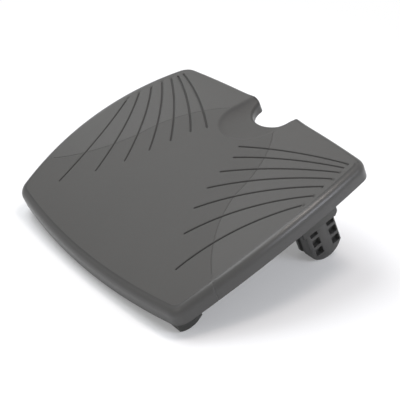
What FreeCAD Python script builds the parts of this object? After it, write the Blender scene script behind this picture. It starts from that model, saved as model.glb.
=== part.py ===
import FreeCAD, Part
import math
import os

from FreeCAD import Vector

# Tilting under desk footrest, in millimetres.
# Every piece is drawn in the plate's own frame: X runs across the width, Y runs along the plate
# from its front corners (0) to its rear corners, and Z stands square to the plate.
# The last step leans the whole assembly back so that its curved feet stand on the floor (Z = 0).

# Plate seen from above
CORNER_HALF_WIDTH = 204.0     # half the distance between the corners, front and rear
SIDE_BOW = 23.0               # how far each side bulges past its corners
PLATE_DEPTH = 328.0           # corner to corner, front to rear
FRONT_BOW = 18.9              # how far the front edge bulges past its corners
REAR_BOW = 12.1               # how far the rear edge bulges past its corners
CORNER_RADIUS = 24.0

# Plate in section
CROWN_RISE = 15.8             # the top arches by this much between front and rear
SKIRT_HEIGHT = 24.0
EDGE_RADIUS = 11.0            # rounding between the top and the skirt
ROUND_STEPS = 7               # sections that draw this rounding
ROUND_SLACK = 0.055           # share of its turn that is drawn straight at each end
OUTLINE_STEPS = 6             # spans that draw each edge of the outline
PLATE_WALL = 3.0
RIB_THICKNESS = 2.0
RIB_DEPTH = 11.0
RIB_SPACING = 45.0            # counted from the plate's middle, both ways
RIB_CLEARANCE = 2.0           # kept free round the sockets and the front bar

# Hand notch in the rear edge and the scooped recess that leads into it
NOTCH_RADIUS = 37.0
NOTCH_LIP_RADIUS = 10.0
SCOOP_RADIUS = 48.0
SCOOP_CENTRE_FROM_REAR = 45.0
SCOOP_DEPTH = 12.0
SCOOP_FLARE = (2.5, -1.5, 4.0)    # above the surface: wider by, centre moved back by, height
SCOOP_STEPS = (               # below it: share of the radius, centre moved back by, share of the depth
    (1.0, 0.0, 0.0),
    (0.86, 6.0, 0.6),
    (0.62, 25.0, 1.0),
)

# Grip grooves, right-hand side: inner end (x, y), outer end (x, y), bow of the arc
GROOVE_WIDTH = 2.6
GROOVE_DEPTH = 1.4
GROOVES = (
    ((149.0, 47.0), (209.0, 219.0), 10.0),
    ((111.0, 91.0), (206.0, 238.0), 10.0),
    ((86.0, 128.0), (202.0, 258.0), 8.5),
    ((71.0, 163.0), (201.0, 277.0), 7.0),
    ((60.0, 194.0), (195.0, 290.0), 5.5),
    ((51.0, 224.0), (191.0, 300.0), 5.5),
    ((38.0, 244.0), (189.0, 309.0), 5.5),
)

# Style line between the middle field and each side wing, right-hand side
CREASE_WIDTH = 1.6
CREASE_DEPTH = 0.5
CREASE_REAR = ((51.0, 294.0), (93.0, 241.0), (115.0, 178.0))
CREASE_FRONT = ((115.0, 178.0), (146.0, 120.0), (216.0, 58.0))

# Front foot bar
BAR_HALF_LENGTH = 193.4
BAR_FRONT = 1.5
BAR_WIDTH = 36.5
BAR_ARC_RADIUS = 30.5
BAR_ARC_LOWEST = -46.0
BAR_TOP = -29.0               # rim of the trough
BAR_WALL = 3.0
BAR_SEAT = -4.0               # plane where the bar meets the plate's bosses
BAR_WEB_SPACING = 16.5
BAR_WEB_GAP = 1.4             # between the webs' ends and the end caps
BAR_RIB_PITCH = 35.0
BAR_FIRST_SCREW = 30.0
BAR_SCREW_MARGIN = 23.4       # last screw to the bar's end
END_CAP_THICKNESS = 3.0
END_CAP_SPIGOT = 6.0
END_CAP_FIT = 0.2

# Rubber treads, bonded into shallow seats on every curved foot
TREAD_THICKNESS = 1.5
TREAD_PROUD = 0.8
BAR_TREAD_HALF_WIDTH = 15.0
BAR_TREAD_MARGIN = 7.0        # kept free each side of a screw
LEG_TREAD_HALF_WIDTH = 19.0
LEG_TREAD_MARGIN = 3.0

# Rear legs, right-hand side
LEG_INNER = 126.5
LEG_THICKNESS = 33.5
LEG_FRONT = 230.5
LEG_WIDTH = 50.3
LEG_TIP_RADIUS = 30.0
LEG_TIP_LOWEST = -141.3
LEG_TOP = -36.0
LEG_FLANGE = 3.0              # how far the stop flange stands out, front and rear
LEG_FLANGE_HEIGHT = 4.0
POCKET_WIDTH = 12.6
POCKET_HEIGHT = 12.0
POCKET_DEPTH = 8.0
POCKET_FRONT_BORDER = 6.1
POCKET_REAR_BORDER = 1.8
POCKET_ROWS = 5
POCKET_PITCH = 17.3           # one height setting
TOP_POCKET_CENTRE = -53.0
KEYWAY_CENTRE_FROM_INNER = 9.5
KEYWAY_WIDTH = 8.0
KEYWAY_DEPTH = 2.5

# Sockets that the rear legs slide in
LEG_CLEARANCE = 0.4
SOCKET_OUTER_WALL = 2.6
SOCKET_INNER_WALL = 5.6
SOCKET_FRONT_WALL = 3.0
SOCKET_REAR_WALL = 4.4
SOCKET_BOTTOM = -84.0
SOCKET_TOP = -2.0             # plane where the socket meets the plate's bosses
SOCKET_CHAMFER = 6.0
SOCKET_EDGE_RADIUS = 2.5
FLANGE_THICKNESS = 3.0
FLANGE_MARGIN = 13.0          # how far the fixing flange stands out to each side
STOP_GAP = 0.3
GUSSET_SIZE = 10.0
GUSSET_THICKNESS = 2.5

# Detent spring, its cover and their window in the socket's inner wall
WINDOW_SIDE_GAP = 1.1         # between the spring and the window's sides
WINDOW_TOP = -10.0
WINDOW_BOTTOM = -72.0
COVER_THICKNESS = 2.5
COVER_MARGIN = 6.0
SPRING_THICKNESS = 0.8
SPRING_TOP = -11.0
SPRING_ROOT_HEIGHT = 14.0
SPRING_BOTTOM = -68.0
FINGER_WIDTH = 9.0
NOSE_HALF_HEIGHT = 6.0
NOSE_BITE = 2.5               # how deep the nose drops into a pocket
PEG_RADIUS = 1.5
PEG_OFFSET = 11.0
PEG_PROUD = 0.8

# Screws and their bosses
SCREW_RADIUS = 1.7
SCREW_HEAD_RADIUS = 3.4
SCREW_HEAD_HEIGHT = 2.2
SCREW_BITE = 5.0
BOSS_RADIUS = 4.5
HOLE_FIT = 0.05
HOLE_EXTRA_DEPTH = 0.3
COVER_SCREW_RADIUS = 1.2
COVER_SCREW_HEAD_RADIUS = 2.4
COVER_SCREW_HEAD_HEIGHT = 1.5
COVER_SCREW_BITE = 3.6
TOWER_RADIUS = 6.0
TOWER_BORE_RADIUS = 4.3
TOWER_WEB = 3.0

# Drawing aids
OVERCUT = 1.0                 # how far a cutting body runs past the face that it opens
CLEAR_OF_ALL = 20.0           # how far it runs past the whole piece
ROUND_RUNOUT = 2.0            # how far the rounding runs on above the top
JOINT_GAP = 0.5               # between a rib and the bar below it

# Sizes that follow from the ones above
LADDER_CENTRE = LEG_FRONT + LEG_WIDTH / 2 + (POCKET_FRONT_BORDER - POCKET_REAR_BORDER) / 2
REAR_EDGE = PLATE_DEPTH + REAR_BOW
WIDEST_HALF_WIDTH = CORNER_HALF_WIDTH + SIDE_BOW
CROWN_RADIUS = ((PLATE_DEPTH / 2) ** 2 + CROWN_RISE ** 2) / (2 * CROWN_RISE)
BAR_CENTRE = BAR_FRONT + BAR_WIDTH / 2
BAR_ARC_CENTRE = BAR_ARC_LOWEST + BAR_ARC_RADIUS
BAR_WEB_HALF_LENGTH = BAR_HALF_LENGTH - END_CAP_THICKNESS - END_CAP_SPIGOT - BAR_WEB_GAP
BAR_LAST_SCREW = BAR_HALF_LENGTH - BAR_SCREW_MARGIN
BAR_SCREW_X = (BAR_FIRST_SCREW, (BAR_FIRST_SCREW + BAR_LAST_SCREW) / 2, BAR_LAST_SCREW)
LEG_CENTRE = LEG_FRONT + LEG_WIDTH / 2
LEG_REAR = LEG_FRONT + LEG_WIDTH
LEG_OUTER = LEG_INNER + LEG_THICKNESS
LEG_ARC_CENTRE = LEG_TIP_LOWEST + LEG_TIP_RADIUS
LEG_TRAVEL = 2 * POCKET_PITCH
FINGER_PITCH = LEG_WIDTH - POCKET_FRONT_BORDER - POCKET_REAR_BORDER - POCKET_WIDTH
SPRING_HALF_WIDTH = (FINGER_PITCH + FINGER_WIDTH) / 2
WINDOW_HALF_WIDTH = SPRING_HALF_WIDTH + WINDOW_SIDE_GAP
SOCKET_INNER_FACE = LEG_INNER - LEG_CLEARANCE - SOCKET_INNER_WALL
SOCKET_OUTER_FACE = LEG_OUTER + LEG_CLEARANCE + SOCKET_OUTER_WALL
SOCKET_FRONT_FACE = LEG_FRONT - LEG_FLANGE - LEG_CLEARANCE - SOCKET_FRONT_WALL
SOCKET_REAR_FACE = LEG_REAR + LEG_FLANGE + LEG_CLEARANCE + SOCKET_REAR_WALL
LEDGE = LEG_TOP - LEG_FLANGE_HEIGHT - STOP_GAP
BELOW_ALL = LEG_TIP_LOWEST - CLEAR_OF_ALL
ABOVE_ALL = CROWN_RISE + CLEAR_OF_ALL


def box_between(x0, x1, y0, y1, z0, z1):
    return Part.makeBox(x1 - x0, y1 - y0, z1 - z0, Vector(x0, y0, z0))


def post(x, y, z0, z1, radius):
    return Part.makeCylinder(radius, z1 - z0, Vector(x, y, z0))


def cross_rod(x0, x1, y, z, radius):
    return Part.makeCylinder(radius, x1 - x0, Vector(x0, y, z), Vector(1, 0, 0))


def line(a, b):
    return Part.LineSegment(Vector(*a), Vector(*b)).toShape()


def arc(a, middle, b):
    return Part.Arc(Vector(*a), Vector(*middle), Vector(*b)).toShape()


def face_of(edges):
    return Part.Face(Part.Wire(edges))


def mirrored(shape):
    return shape.mirror(Vector(0, 0, 0), Vector(1, 0, 0))


def crown_height(y):
    """Height of the arched top above the line through the plate's corners."""
    from_middle = y - PLATE_DEPTH / 2
    return CROWN_RISE - CROWN_RADIUS + math.sqrt(CROWN_RADIUS ** 2 - from_middle ** 2)


def below_crown(depth):
    """Everything under the arched top once that is lowered by depth."""
    half_length = WIDEST_HALF_WIDTH + CLEAR_OF_ALL
    middle, axis_height = PLATE_DEPTH / 2, CROWN_RISE - CROWN_RADIUS - depth
    round_bar = cross_rod(-half_length, half_length, middle, axis_height, CROWN_RADIUS)
    round_bar.rotate(Vector(0, middle, axis_height), Vector(1, 0, 0), 90)
    return round_bar


# Plate

def bow_radius(half_chord, bow):
    return (half_chord ** 2 + bow ** 2) / (2 * bow)


def meeting_point(centre_a, radius_a, centre_b, radius_b):
    """Where two circles cross, on the side of larger x."""
    apart = centre_b - centre_a
    distance = apart.Length
    along = (distance ** 2 + radius_a ** 2 - radius_b ** 2) / (2 * distance)
    aside = math.sqrt(radius_a ** 2 - along ** 2)
    unit = apart / distance
    square = Vector(-unit.y, unit.x, 0)
    found = [centre_a + unit * along + square * aside, centre_a + unit * along - square * aside]
    return max(found, key=lambda point: point.x)


def plan_outline(inset):
    """The plate's outline: four bowed edges joined by tangent corner arcs, smaller by inset."""
    middle = PLATE_DEPTH / 2
    front_radius = bow_radius(CORNER_HALF_WIDTH, FRONT_BOW)
    rear_radius = bow_radius(CORNER_HALF_WIDTH, REAR_BOW)
    side_radius = bow_radius(middle, SIDE_BOW)
    front_centre = Vector(0, front_radius - FRONT_BOW, 0)
    rear_centre = Vector(0, REAR_EDGE - rear_radius, 0)
    side_centre = Vector(WIDEST_HALF_WIDTH - side_radius, middle, 0)

    def corner(centre, radius):
        """Three points of a right-hand corner arc, from the bowed edge to the side."""
        heart = meeting_point(centre, radius - CORNER_RADIUS, side_centre, side_radius - CORNER_RADIUS)
        to_edge = (heart - centre).normalize()
        to_side = (heart - side_centre).normalize()
        between = (to_edge + to_side).normalize()
        return [heart + way * (CORNER_RADIUS - inset) for way in (to_edge, between, to_side)]

    def opposite(point):
        return Vector(-point.x, point.y, 0)

    front_start, front_mid, front_end = corner(front_centre, front_radius)
    rear_start, rear_mid, rear_end = corner(rear_centre, rear_radius)
    side_mid = Vector(WIDEST_HALF_WIDTH - inset, middle, 0)
    return face_of([
        arc(opposite(front_start), Vector(0, inset - FRONT_BOW, 0), front_start),
        arc(front_start, front_mid, front_end),
        arc(front_end, side_mid, rear_end),
        arc(rear_end, rear_mid, rear_start),
        arc(rear_start, Vector(0, REAR_EDGE - inset, 0), opposite(rear_start)),
        arc(opposite(rear_start), opposite(rear_mid), opposite(rear_end)),
        arc(opposite(rear_end), opposite(side_mid), opposite(front_end)),
        arc(opposite(front_end), opposite(front_mid), opposite(front_start)),
    ])


def sharp_block(inset):
    """A block under the arched top, everywhere smaller than the plate's outside by inset."""
    outline = plan_outline(inset)
    outline.translate(Vector(0, 0, BELOW_ALL))
    prism = outline.extrude(Vector(0, 0, ABOVE_ALL - BELOW_ALL))
    return prism.common(below_crown(inset))


def rounding_section(point, outward, inset):
    """Points of the rounding over one point of the outline, from far below it to far above it."""
    radius = EDGE_RADIUS - inset
    path_radius = CROWN_RADIUS - radius
    path_centre = Vector(0, PLATE_DEPTH / 2, CROWN_RISE - CROWN_RADIUS - inset)
    heart = point - outward * radius
    from_middle = heart.y - path_centre.y
    heart.z = path_centre.z + math.sqrt(path_radius ** 2 - from_middle ** 2)
    upward = Vector(0, from_middle, heart.z - path_centre.z).normalize()
    turn = outward.getAngle(upward)

    def on_round(share):
        way = outward * math.sin((1 - share) * turn) + upward * math.sin(share * turn)
        return heart + way * (radius / math.sin(turn))

    def tangent(share):
        way = upward * math.cos(share * turn) - outward * math.cos((1 - share) * turn)
        return way.normalize()

    step = (1 - 2 * ROUND_SLACK) / (ROUND_STEPS - 1)
    points = [on_round(ROUND_SLACK + index * step) for index in range(ROUND_STEPS)]
    down = tangent(ROUND_SLACK) * -1
    foot = points[0] + down * ((BELOW_ALL - points[0].z) / down.z)
    over = points[-1] + tangent(1 - ROUND_SLACK) * ROUND_RUNOUT
    return [foot] + points + [over, Vector(over.x, over.y, ABOVE_ALL)]


def rounding(inset):
    """A body whose wall rolls over onto the arched top all along the outline."""
    middle = Vector(0, PLATE_DEPTH / 2, 0)
    rows = [[] for _ in range(ROUND_STEPS + 3)]
    for edge in plan_outline(inset).OuterWire.OrderedEdges:
        start, end = edge.ParameterRange
        sections = []
        for index in range(OUTLINE_STEPS + 1):
            point = edge.valueAt(start + (end - start) * index / OUTLINE_STEPS)
            outward = (point - edge.Curve.Center).normalize()
            if outward.dot(point - middle) < 0:
                outward = outward * -1
            sections.append(rounding_section(point, outward, inset))
        for row, points in zip(rows, zip(*sections)):
            curve = Part.BSplineCurve()
            curve.interpolate(Points=list(points))
            row.append(curve.toShape())
    return Part.makeLoft([Part.Wire(row) for row in rows], True, True)


def rounded_block(inset):
    """The same block with its top edge rounded."""
    return sharp_block(inset).common(rounding(inset))


def bevelled_block(inset):
    """The same block with a bevel that touches the rounding from inside."""
    block = sharp_block(inset)
    top = max(block.Faces, key=lambda face: face.CenterOfMass.z)
    return block.makeChamfer((2 - math.sqrt(2)) * (EDGE_RADIUS - inset), top.Edges)


def notch_prism(grow):
    """The notch through the rear edge, with rounded lips; grow adds the wall around it."""
    radius = NOTCH_RADIUS + grow
    lip = NOTCH_LIP_RADIUS - grow
    reach = NOTCH_RADIUS + NOTCH_LIP_RADIUS
    lip_x = math.sqrt(reach ** 2 - NOTCH_LIP_RADIUS ** 2)
    lip_y = REAR_EDGE - NOTCH_LIP_RADIUS
    meet_x = lip_x * radius / reach
    meet_y = REAR_EDGE - NOTCH_LIP_RADIUS * radius / reach
    half_angle = math.atan2(meet_y - lip_y, lip_x - meet_x) / 2 + math.pi / 4
    bend_x = lip_x - lip * math.cos(half_angle)
    bend_y = lip_y + lip * math.sin(half_angle)
    past = REAR_EDGE + CLEAR_OF_ALL
    z = BELOW_ALL
    edges = [
        arc((-meet_x, meet_y, z), (0, REAR_EDGE - radius, z), (meet_x, meet_y, z)),
        arc((meet_x, meet_y, z), (bend_x, bend_y, z), (lip_x, lip_y + lip, z)),
        line((lip_x, lip_y + lip, z), (lip_x, past, z)),
        line((lip_x, past, z), (-lip_x, past, z)),
        line((-lip_x, past, z), (-lip_x, lip_y + lip, z)),
        arc((-lip_x, lip_y + lip, z), (-bend_x, bend_y, z), (-meet_x, meet_y, z)),
    ]
    return face_of(edges).extrude(Vector(0, 0, ABOVE_ALL - BELOW_ALL))


def scoop_section(radius, centre_y, height):
    """A round-fronted outline with straight sides that run out past the rear edge."""
    past = REAR_EDGE + 2 * CLEAR_OF_ALL
    return Part.Wire([
        arc((-radius, centre_y, height), (0, centre_y - radius, height), (radius, centre_y, height)),
        line((radius, centre_y, height), (radius, past, height)),
        line((radius, past, height), (-radius, past, height)),
        line((-radius, past, height), (-radius, centre_y, height)),
    ])


def scoop(grow):
    """The recess in front of the notch, which deepens towards it; grow adds the floor under it."""
    centre = REAR_EDGE - SCOOP_CENTRE_FROM_REAR
    wider, back, height = SCOOP_FLARE
    sections = [scoop_section(SCOOP_RADIUS + wider + grow, centre + back, height)]
    for share, back, depth_share in SCOOP_STEPS:
        sections.append(scoop_section(share * SCOOP_RADIUS + grow, centre + back,
                                      -depth_share * SCOOP_DEPTH - grow))
    bowl = Part.makeLoft(sections, True, False)
    slope = math.degrees(math.asin((centre - PLATE_DEPTH / 2) / CROWN_RADIUS))
    bowl.rotate(Vector(0, centre, 0), Vector(1, 0, 0), -slope)
    bowl.translate(Vector(0, 0, crown_height(centre)))
    return bowl


def band(points, width):
    """A flat band of the given width along an arc through three points, with round ends."""
    start, middle, end = [Vector(x, y, 0) for x, y in points]
    centre = Part.Arc(start, middle, end).toShape().Curve.Center
    half = width / 2

    def beside(point, offset):
        return point + (point - centre).normalize() * offset

    def past_end(point, sign):
        outward = (point - centre).normalize()
        turn = 1 if (start - centre).cross(middle - centre).z > 0 else -1
        return point + Vector(-outward.y, outward.x, 0) * (sign * turn * half)

    outer = Part.Arc(beside(start, half), beside(middle, half), beside(end, half))
    end_cap = Part.Arc(beside(end, half), past_end(end, 1), beside(end, -half))
    inner = Part.Arc(beside(end, -half), beside(middle, -half), beside(start, -half))
    start_cap = Part.Arc(beside(start, -half), past_end(start, -1), beside(start, half))
    return face_of([piece.toShape() for piece in (outer, end_cap, inner, start_cap)])


def bowed(inner, outer, bow):
    """Three points of an arc that bows towards the plate's middle and rear."""
    along = Vector(outer[0] - inner[0], outer[1] - inner[1], 0)
    side = Vector(-along.y, along.x, 0).normalize() * bow
    middle = ((inner[0] + outer[0]) / 2 + side.x, (inner[1] + outer[1]) / 2 + side.y)
    return inner, middle, outer


def upright(face):
    """A flat outline raised into a prism through the whole plate."""
    face.translate(Vector(0, 0, BELOW_ALL))
    return face.extrude(Vector(0, 0, ABOVE_ALL - BELOW_ALL))


def surface_marks():
    """The grip grooves and the style lines, cut to their depth below the surface."""
    grooves = [upright(band(bowed(*groove), GROOVE_WIDTH)) for groove in GROOVES]
    right = Part.makeCompound(grooves).cut(sharp_block(GROOVE_DEPTH))
    lines = [upright(band(points, CREASE_WIDTH)) for points in (CREASE_REAR, CREASE_FRONT)]
    crease = lines[0].fuse(lines[1]).cut(rounded_block(CREASE_DEPTH))
    return [right, crease, mirrored(right), mirrored(crease)]


def bar_boss_places():
    return [(sign * x, BAR_CENTRE) for x in BAR_SCREW_X for sign in (1, -1)]


def socket_screw_places():
    """Right-hand socket: two screws inboard of it and two outboard."""
    inner = SOCKET_INNER_FACE - FLANGE_MARGIN / 2
    outer = SOCKET_OUTER_FACE + FLANGE_MARGIN / 2
    front = SOCKET_FRONT_FACE + FLANGE_MARGIN / 2
    rear = SOCKET_REAR_FACE - FLANGE_MARGIN / 2
    return [(x, y) for x in (inner, outer) for y in (front, rear)]


def plate_ribs():
    """The stiffening grid under the top, kept clear of the sockets and the front bar."""
    front, rear, half = -FRONT_BOW, REAR_EDGE, WIDEST_HALF_WIDTH
    half_rib = RIB_THICKNESS / 2
    ribs = []
    across = int(CORNER_HALF_WIDTH // RIB_SPACING)
    for index in range(-across, across + 1):
        x = index * RIB_SPACING
        ribs.append(box_between(x - half_rib, x + half_rib, front, rear, BELOW_ALL, ABOVE_ALL))
    along = int(PLATE_DEPTH / 2 // RIB_SPACING)
    for index in range(-along, along + 1):
        y = PLATE_DEPTH / 2 + index * RIB_SPACING
        ribs.append(box_between(-half, half, y - half_rib, y + half_rib, BELOW_ALL, ABOVE_ALL))
    grid = ribs[0].fuse(ribs[1:])
    room = RIB_CLEARANCE
    socket_room = box_between(
        SOCKET_INNER_FACE - FLANGE_MARGIN - room, SOCKET_OUTER_FACE + FLANGE_MARGIN + room,
        SOCKET_FRONT_FACE - room, SOCKET_REAR_FACE + room, BELOW_ALL, ABOVE_ALL)
    bar_room = box_between(-BAR_HALF_LENGTH, BAR_HALF_LENGTH, -FRONT_BOW, BAR_FRONT + BAR_WIDTH + room,
                           BELOW_ALL, BAR_SEAT + JOINT_GAP)
    return grid.cut([below_crown(PLATE_WALL + RIB_DEPTH), socket_room, mirrored(socket_room), bar_room])


def bosses():
    """Screw bosses that reach down from the top to the seats of the bar and the sockets."""
    solids = [post(x, y, BAR_SEAT, ABOVE_ALL, BOSS_RADIUS) for x, y in bar_boss_places()]
    for x, y in socket_screw_places():
        solids.append(post(x, y, SOCKET_TOP, ABOVE_ALL, BOSS_RADIUS))
        solids.append(post(-x, y, SOCKET_TOP, ABOVE_ALL, BOSS_RADIUS))
    return solids


def boss_holes():
    radius = SCREW_RADIUS + HOLE_FIT
    depth = SCREW_BITE + HOLE_EXTRA_DEPTH
    holes = [post(x, y, BAR_SEAT - OVERCUT, BAR_SEAT + depth, radius) for x, y in bar_boss_places()]
    for x, y in socket_screw_places():
        holes.append(post(x, y, SOCKET_TOP - OVERCUT, SOCKET_TOP + depth, radius))
        holes.append(post(-x, y, SOCKET_TOP - OVERCUT, SOCKET_TOP + depth, radius))
    return holes


def deck_tray():
    """The plate: an arched top with a skirt all round, open and ribbed underneath."""
    outside = rounded_block(0).cut(below_crown(SKIRT_HEIGHT))
    hollow = bevelled_block(PLATE_WALL)
    hollow = hollow.cut([plate_ribs(), scoop(PLATE_WALL), notch_prism(PLATE_WALL)] + bosses())
    tray = outside.cut(hollow)
    tray = tray.cut([scoop(0), notch_prism(0)] + boss_holes())
    return tray.cut(surface_marks())


# Front foot bar

def trough_profile(inset, top, x):
    """Section of the bar at x: straight sides and a round bottom, smaller all round by inset."""
    half = BAR_WIDTH / 2 - inset
    radius = BAR_ARC_RADIUS - inset
    shoulder = BAR_ARC_CENTRE - math.sqrt(radius ** 2 - half ** 2)
    left, right = BAR_CENTRE - half, BAR_CENTRE + half
    return face_of([
        line((x, left, top), (x, left, shoulder)),
        arc((x, left, shoulder), (x, BAR_CENTRE, BAR_ARC_CENTRE - radius), (x, right, shoulder)),
        line((x, right, shoulder), (x, right, top)),
        line((x, right, top), (x, left, top)),
    ])


def arc_band(centre_y, centre_z, radius, half_width, x0, x1):
    """A strip bent round an arc's underside, half proud of it and half let into it."""
    outer = radius + TREAD_PROUD
    inner = outer - TREAD_THICKNESS
    rod = cross_rod(x0, x1, centre_y, centre_z, outer).cut(cross_rod(x0, x1, centre_y, centre_z, inner))
    keep = box_between(x0, x1, centre_y - half_width, centre_y + half_width, centre_z - 2 * radius, centre_z)
    return rod.common(keep)


def bar_treads():
    """Right-hand strips, one between each two neighbouring screws."""
    strips = []
    for start, end in zip(BAR_SCREW_X, BAR_SCREW_X[1:]):
        strips.append(arc_band(BAR_CENTRE, BAR_ARC_CENTRE, BAR_ARC_RADIUS, BAR_TREAD_HALF_WIDTH,
                               start + BAR_TREAD_MARGIN, end - BAR_TREAD_MARGIN))
    return Part.makeCompound(strips)


def front_foot_bar():
    """A trough with a round underside; webs and screw towers rise from it to the plate."""
    end = BAR_HALF_LENGTH - END_CAP_THICKNESS
    shell = trough_profile(0, BAR_TOP, -end).extrude(Vector(2 * end, 0, 0))
    inside = trough_profile(BAR_WALL, BAR_TOP + OVERCUT, -end).extrude(Vector(2 * end, 0, 0))
    column = trough_profile(BAR_WALL / 2, BAR_SEAT, -end).extrude(Vector(2 * end, 0, 0))
    half_web = RIB_THICKNESS / 2
    web_y = [BAR_CENTRE - BAR_WEB_SPACING / 2, BAR_CENTRE + BAR_WEB_SPACING / 2]
    reach = BAR_WEB_HALF_LENGTH
    parts = [box_between(-reach, reach, y - half_web, y + half_web, BELOW_ALL, BAR_SEAT) for y in web_y]
    count = int(reach // BAR_RIB_PITCH)
    for index in range(-count, count + 1):
        x = index * BAR_RIB_PITCH
        parts.append(box_between(x - half_web, x + half_web, web_y[0], web_y[1], BELOW_ALL, BAR_SEAT))
    for x, y in bar_boss_places():
        parts.append(post(x, y, BELOW_ALL, BAR_SEAT, TOWER_RADIUS))
    inner_work = parts[0].fuse(parts[1:]).common(column)
    bar = shell.cut(inside).fuse(inner_work)
    cuts = [bar_treads(), mirrored(bar_treads())]
    for x, y in bar_boss_places():
        cuts.append(post(x, y, BELOW_ALL, BAR_SEAT - TOWER_WEB, TOWER_BORE_RADIUS))
        cuts.append(post(x, y, BELOW_ALL, BAR_SEAT + OVERCUT, SCREW_RADIUS + HOLE_FIT))
    return bar.cut(cuts)


def bar_end_cap():
    """Right-hand cap: the bar's own outline, plugged into the trough with a spigot."""
    start = BAR_HALF_LENGTH - END_CAP_THICKNESS
    cap = trough_profile(0, BAR_TOP, start).extrude(Vector(END_CAP_THICKNESS, 0, 0))
    spigot = trough_profile(BAR_WALL + END_CAP_FIT, BAR_TOP, start - END_CAP_SPIGOT)
    return cap.fuse(spigot.extrude(Vector(END_CAP_SPIGOT, 0, 0)))


# Rear legs

def leg_profile(x):
    """Side view of a leg at x: straight sides, a round tip and a stop flange at the top."""
    shoulder = LEG_ARC_CENTRE - math.sqrt(LEG_TIP_RADIUS ** 2 - (LEG_WIDTH / 2) ** 2)
    under_flange = LEG_TOP - LEG_FLANGE_HEIGHT
    front, rear = LEG_FRONT, LEG_REAR
    points = [
        (x, rear, shoulder), (x, rear, under_flange), (x, rear + LEG_FLANGE, under_flange),
        (x, rear + LEG_FLANGE, LEG_TOP), (x, front - LEG_FLANGE, LEG_TOP),
        (x, front - LEG_FLANGE, under_flange), (x, front, under_flange), (x, front, shoulder),
    ]
    edges = [line(a, b) for a, b in zip(points, points[1:])]
    edges.append(arc(points[-1], (x, LEG_CENTRE, LEG_TIP_LOWEST), points[0]))
    return face_of(edges)


def leg_tread():
    return arc_band(LEG_CENTRE, LEG_ARC_CENTRE, LEG_TIP_RADIUS, LEG_TREAD_HALF_WIDTH,
                    LEG_INNER + LEG_TREAD_MARGIN, LEG_OUTER - LEG_TREAD_MARGIN)


def pocket_columns():
    """Front edge of each of the two columns of pockets."""
    return LEG_FRONT + POCKET_FRONT_BORDER, LEG_REAR - POCKET_REAR_BORDER - POCKET_WIDTH


def leg():
    """Right-hand leg: a ladder of pockets in both faces and a keyway in its front edge."""
    body = leg_profile(LEG_INNER).extrude(Vector(LEG_THICKNESS, 0, 0))
    cuts = [leg_tread()]
    for row in range(POCKET_ROWS):
        centre = TOP_POCKET_CENTRE - row * POCKET_PITCH
        low, high = centre - POCKET_HEIGHT / 2, centre + POCKET_HEIGHT / 2
        for start in pocket_columns():
            end = start + POCKET_WIDTH
            cuts.append(box_between(LEG_OUTER - POCKET_DEPTH, LEG_OUTER + OVERCUT, start, end, low, high))
            cuts.append(box_between(LEG_INNER - OVERCUT, LEG_INNER + POCKET_DEPTH, start, end, low, high))
    key = LEG_INNER + KEYWAY_CENTRE_FROM_INNER
    cuts.append(box_between(key - KEYWAY_WIDTH / 2, key + KEYWAY_WIDTH / 2,
                            LEG_FRONT - LEG_FLANGE - OVERCUT, LEG_FRONT + KEYWAY_DEPTH, BELOW_ALL, ABOVE_ALL))
    return body.cut(cuts)


# Leg sockets

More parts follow.
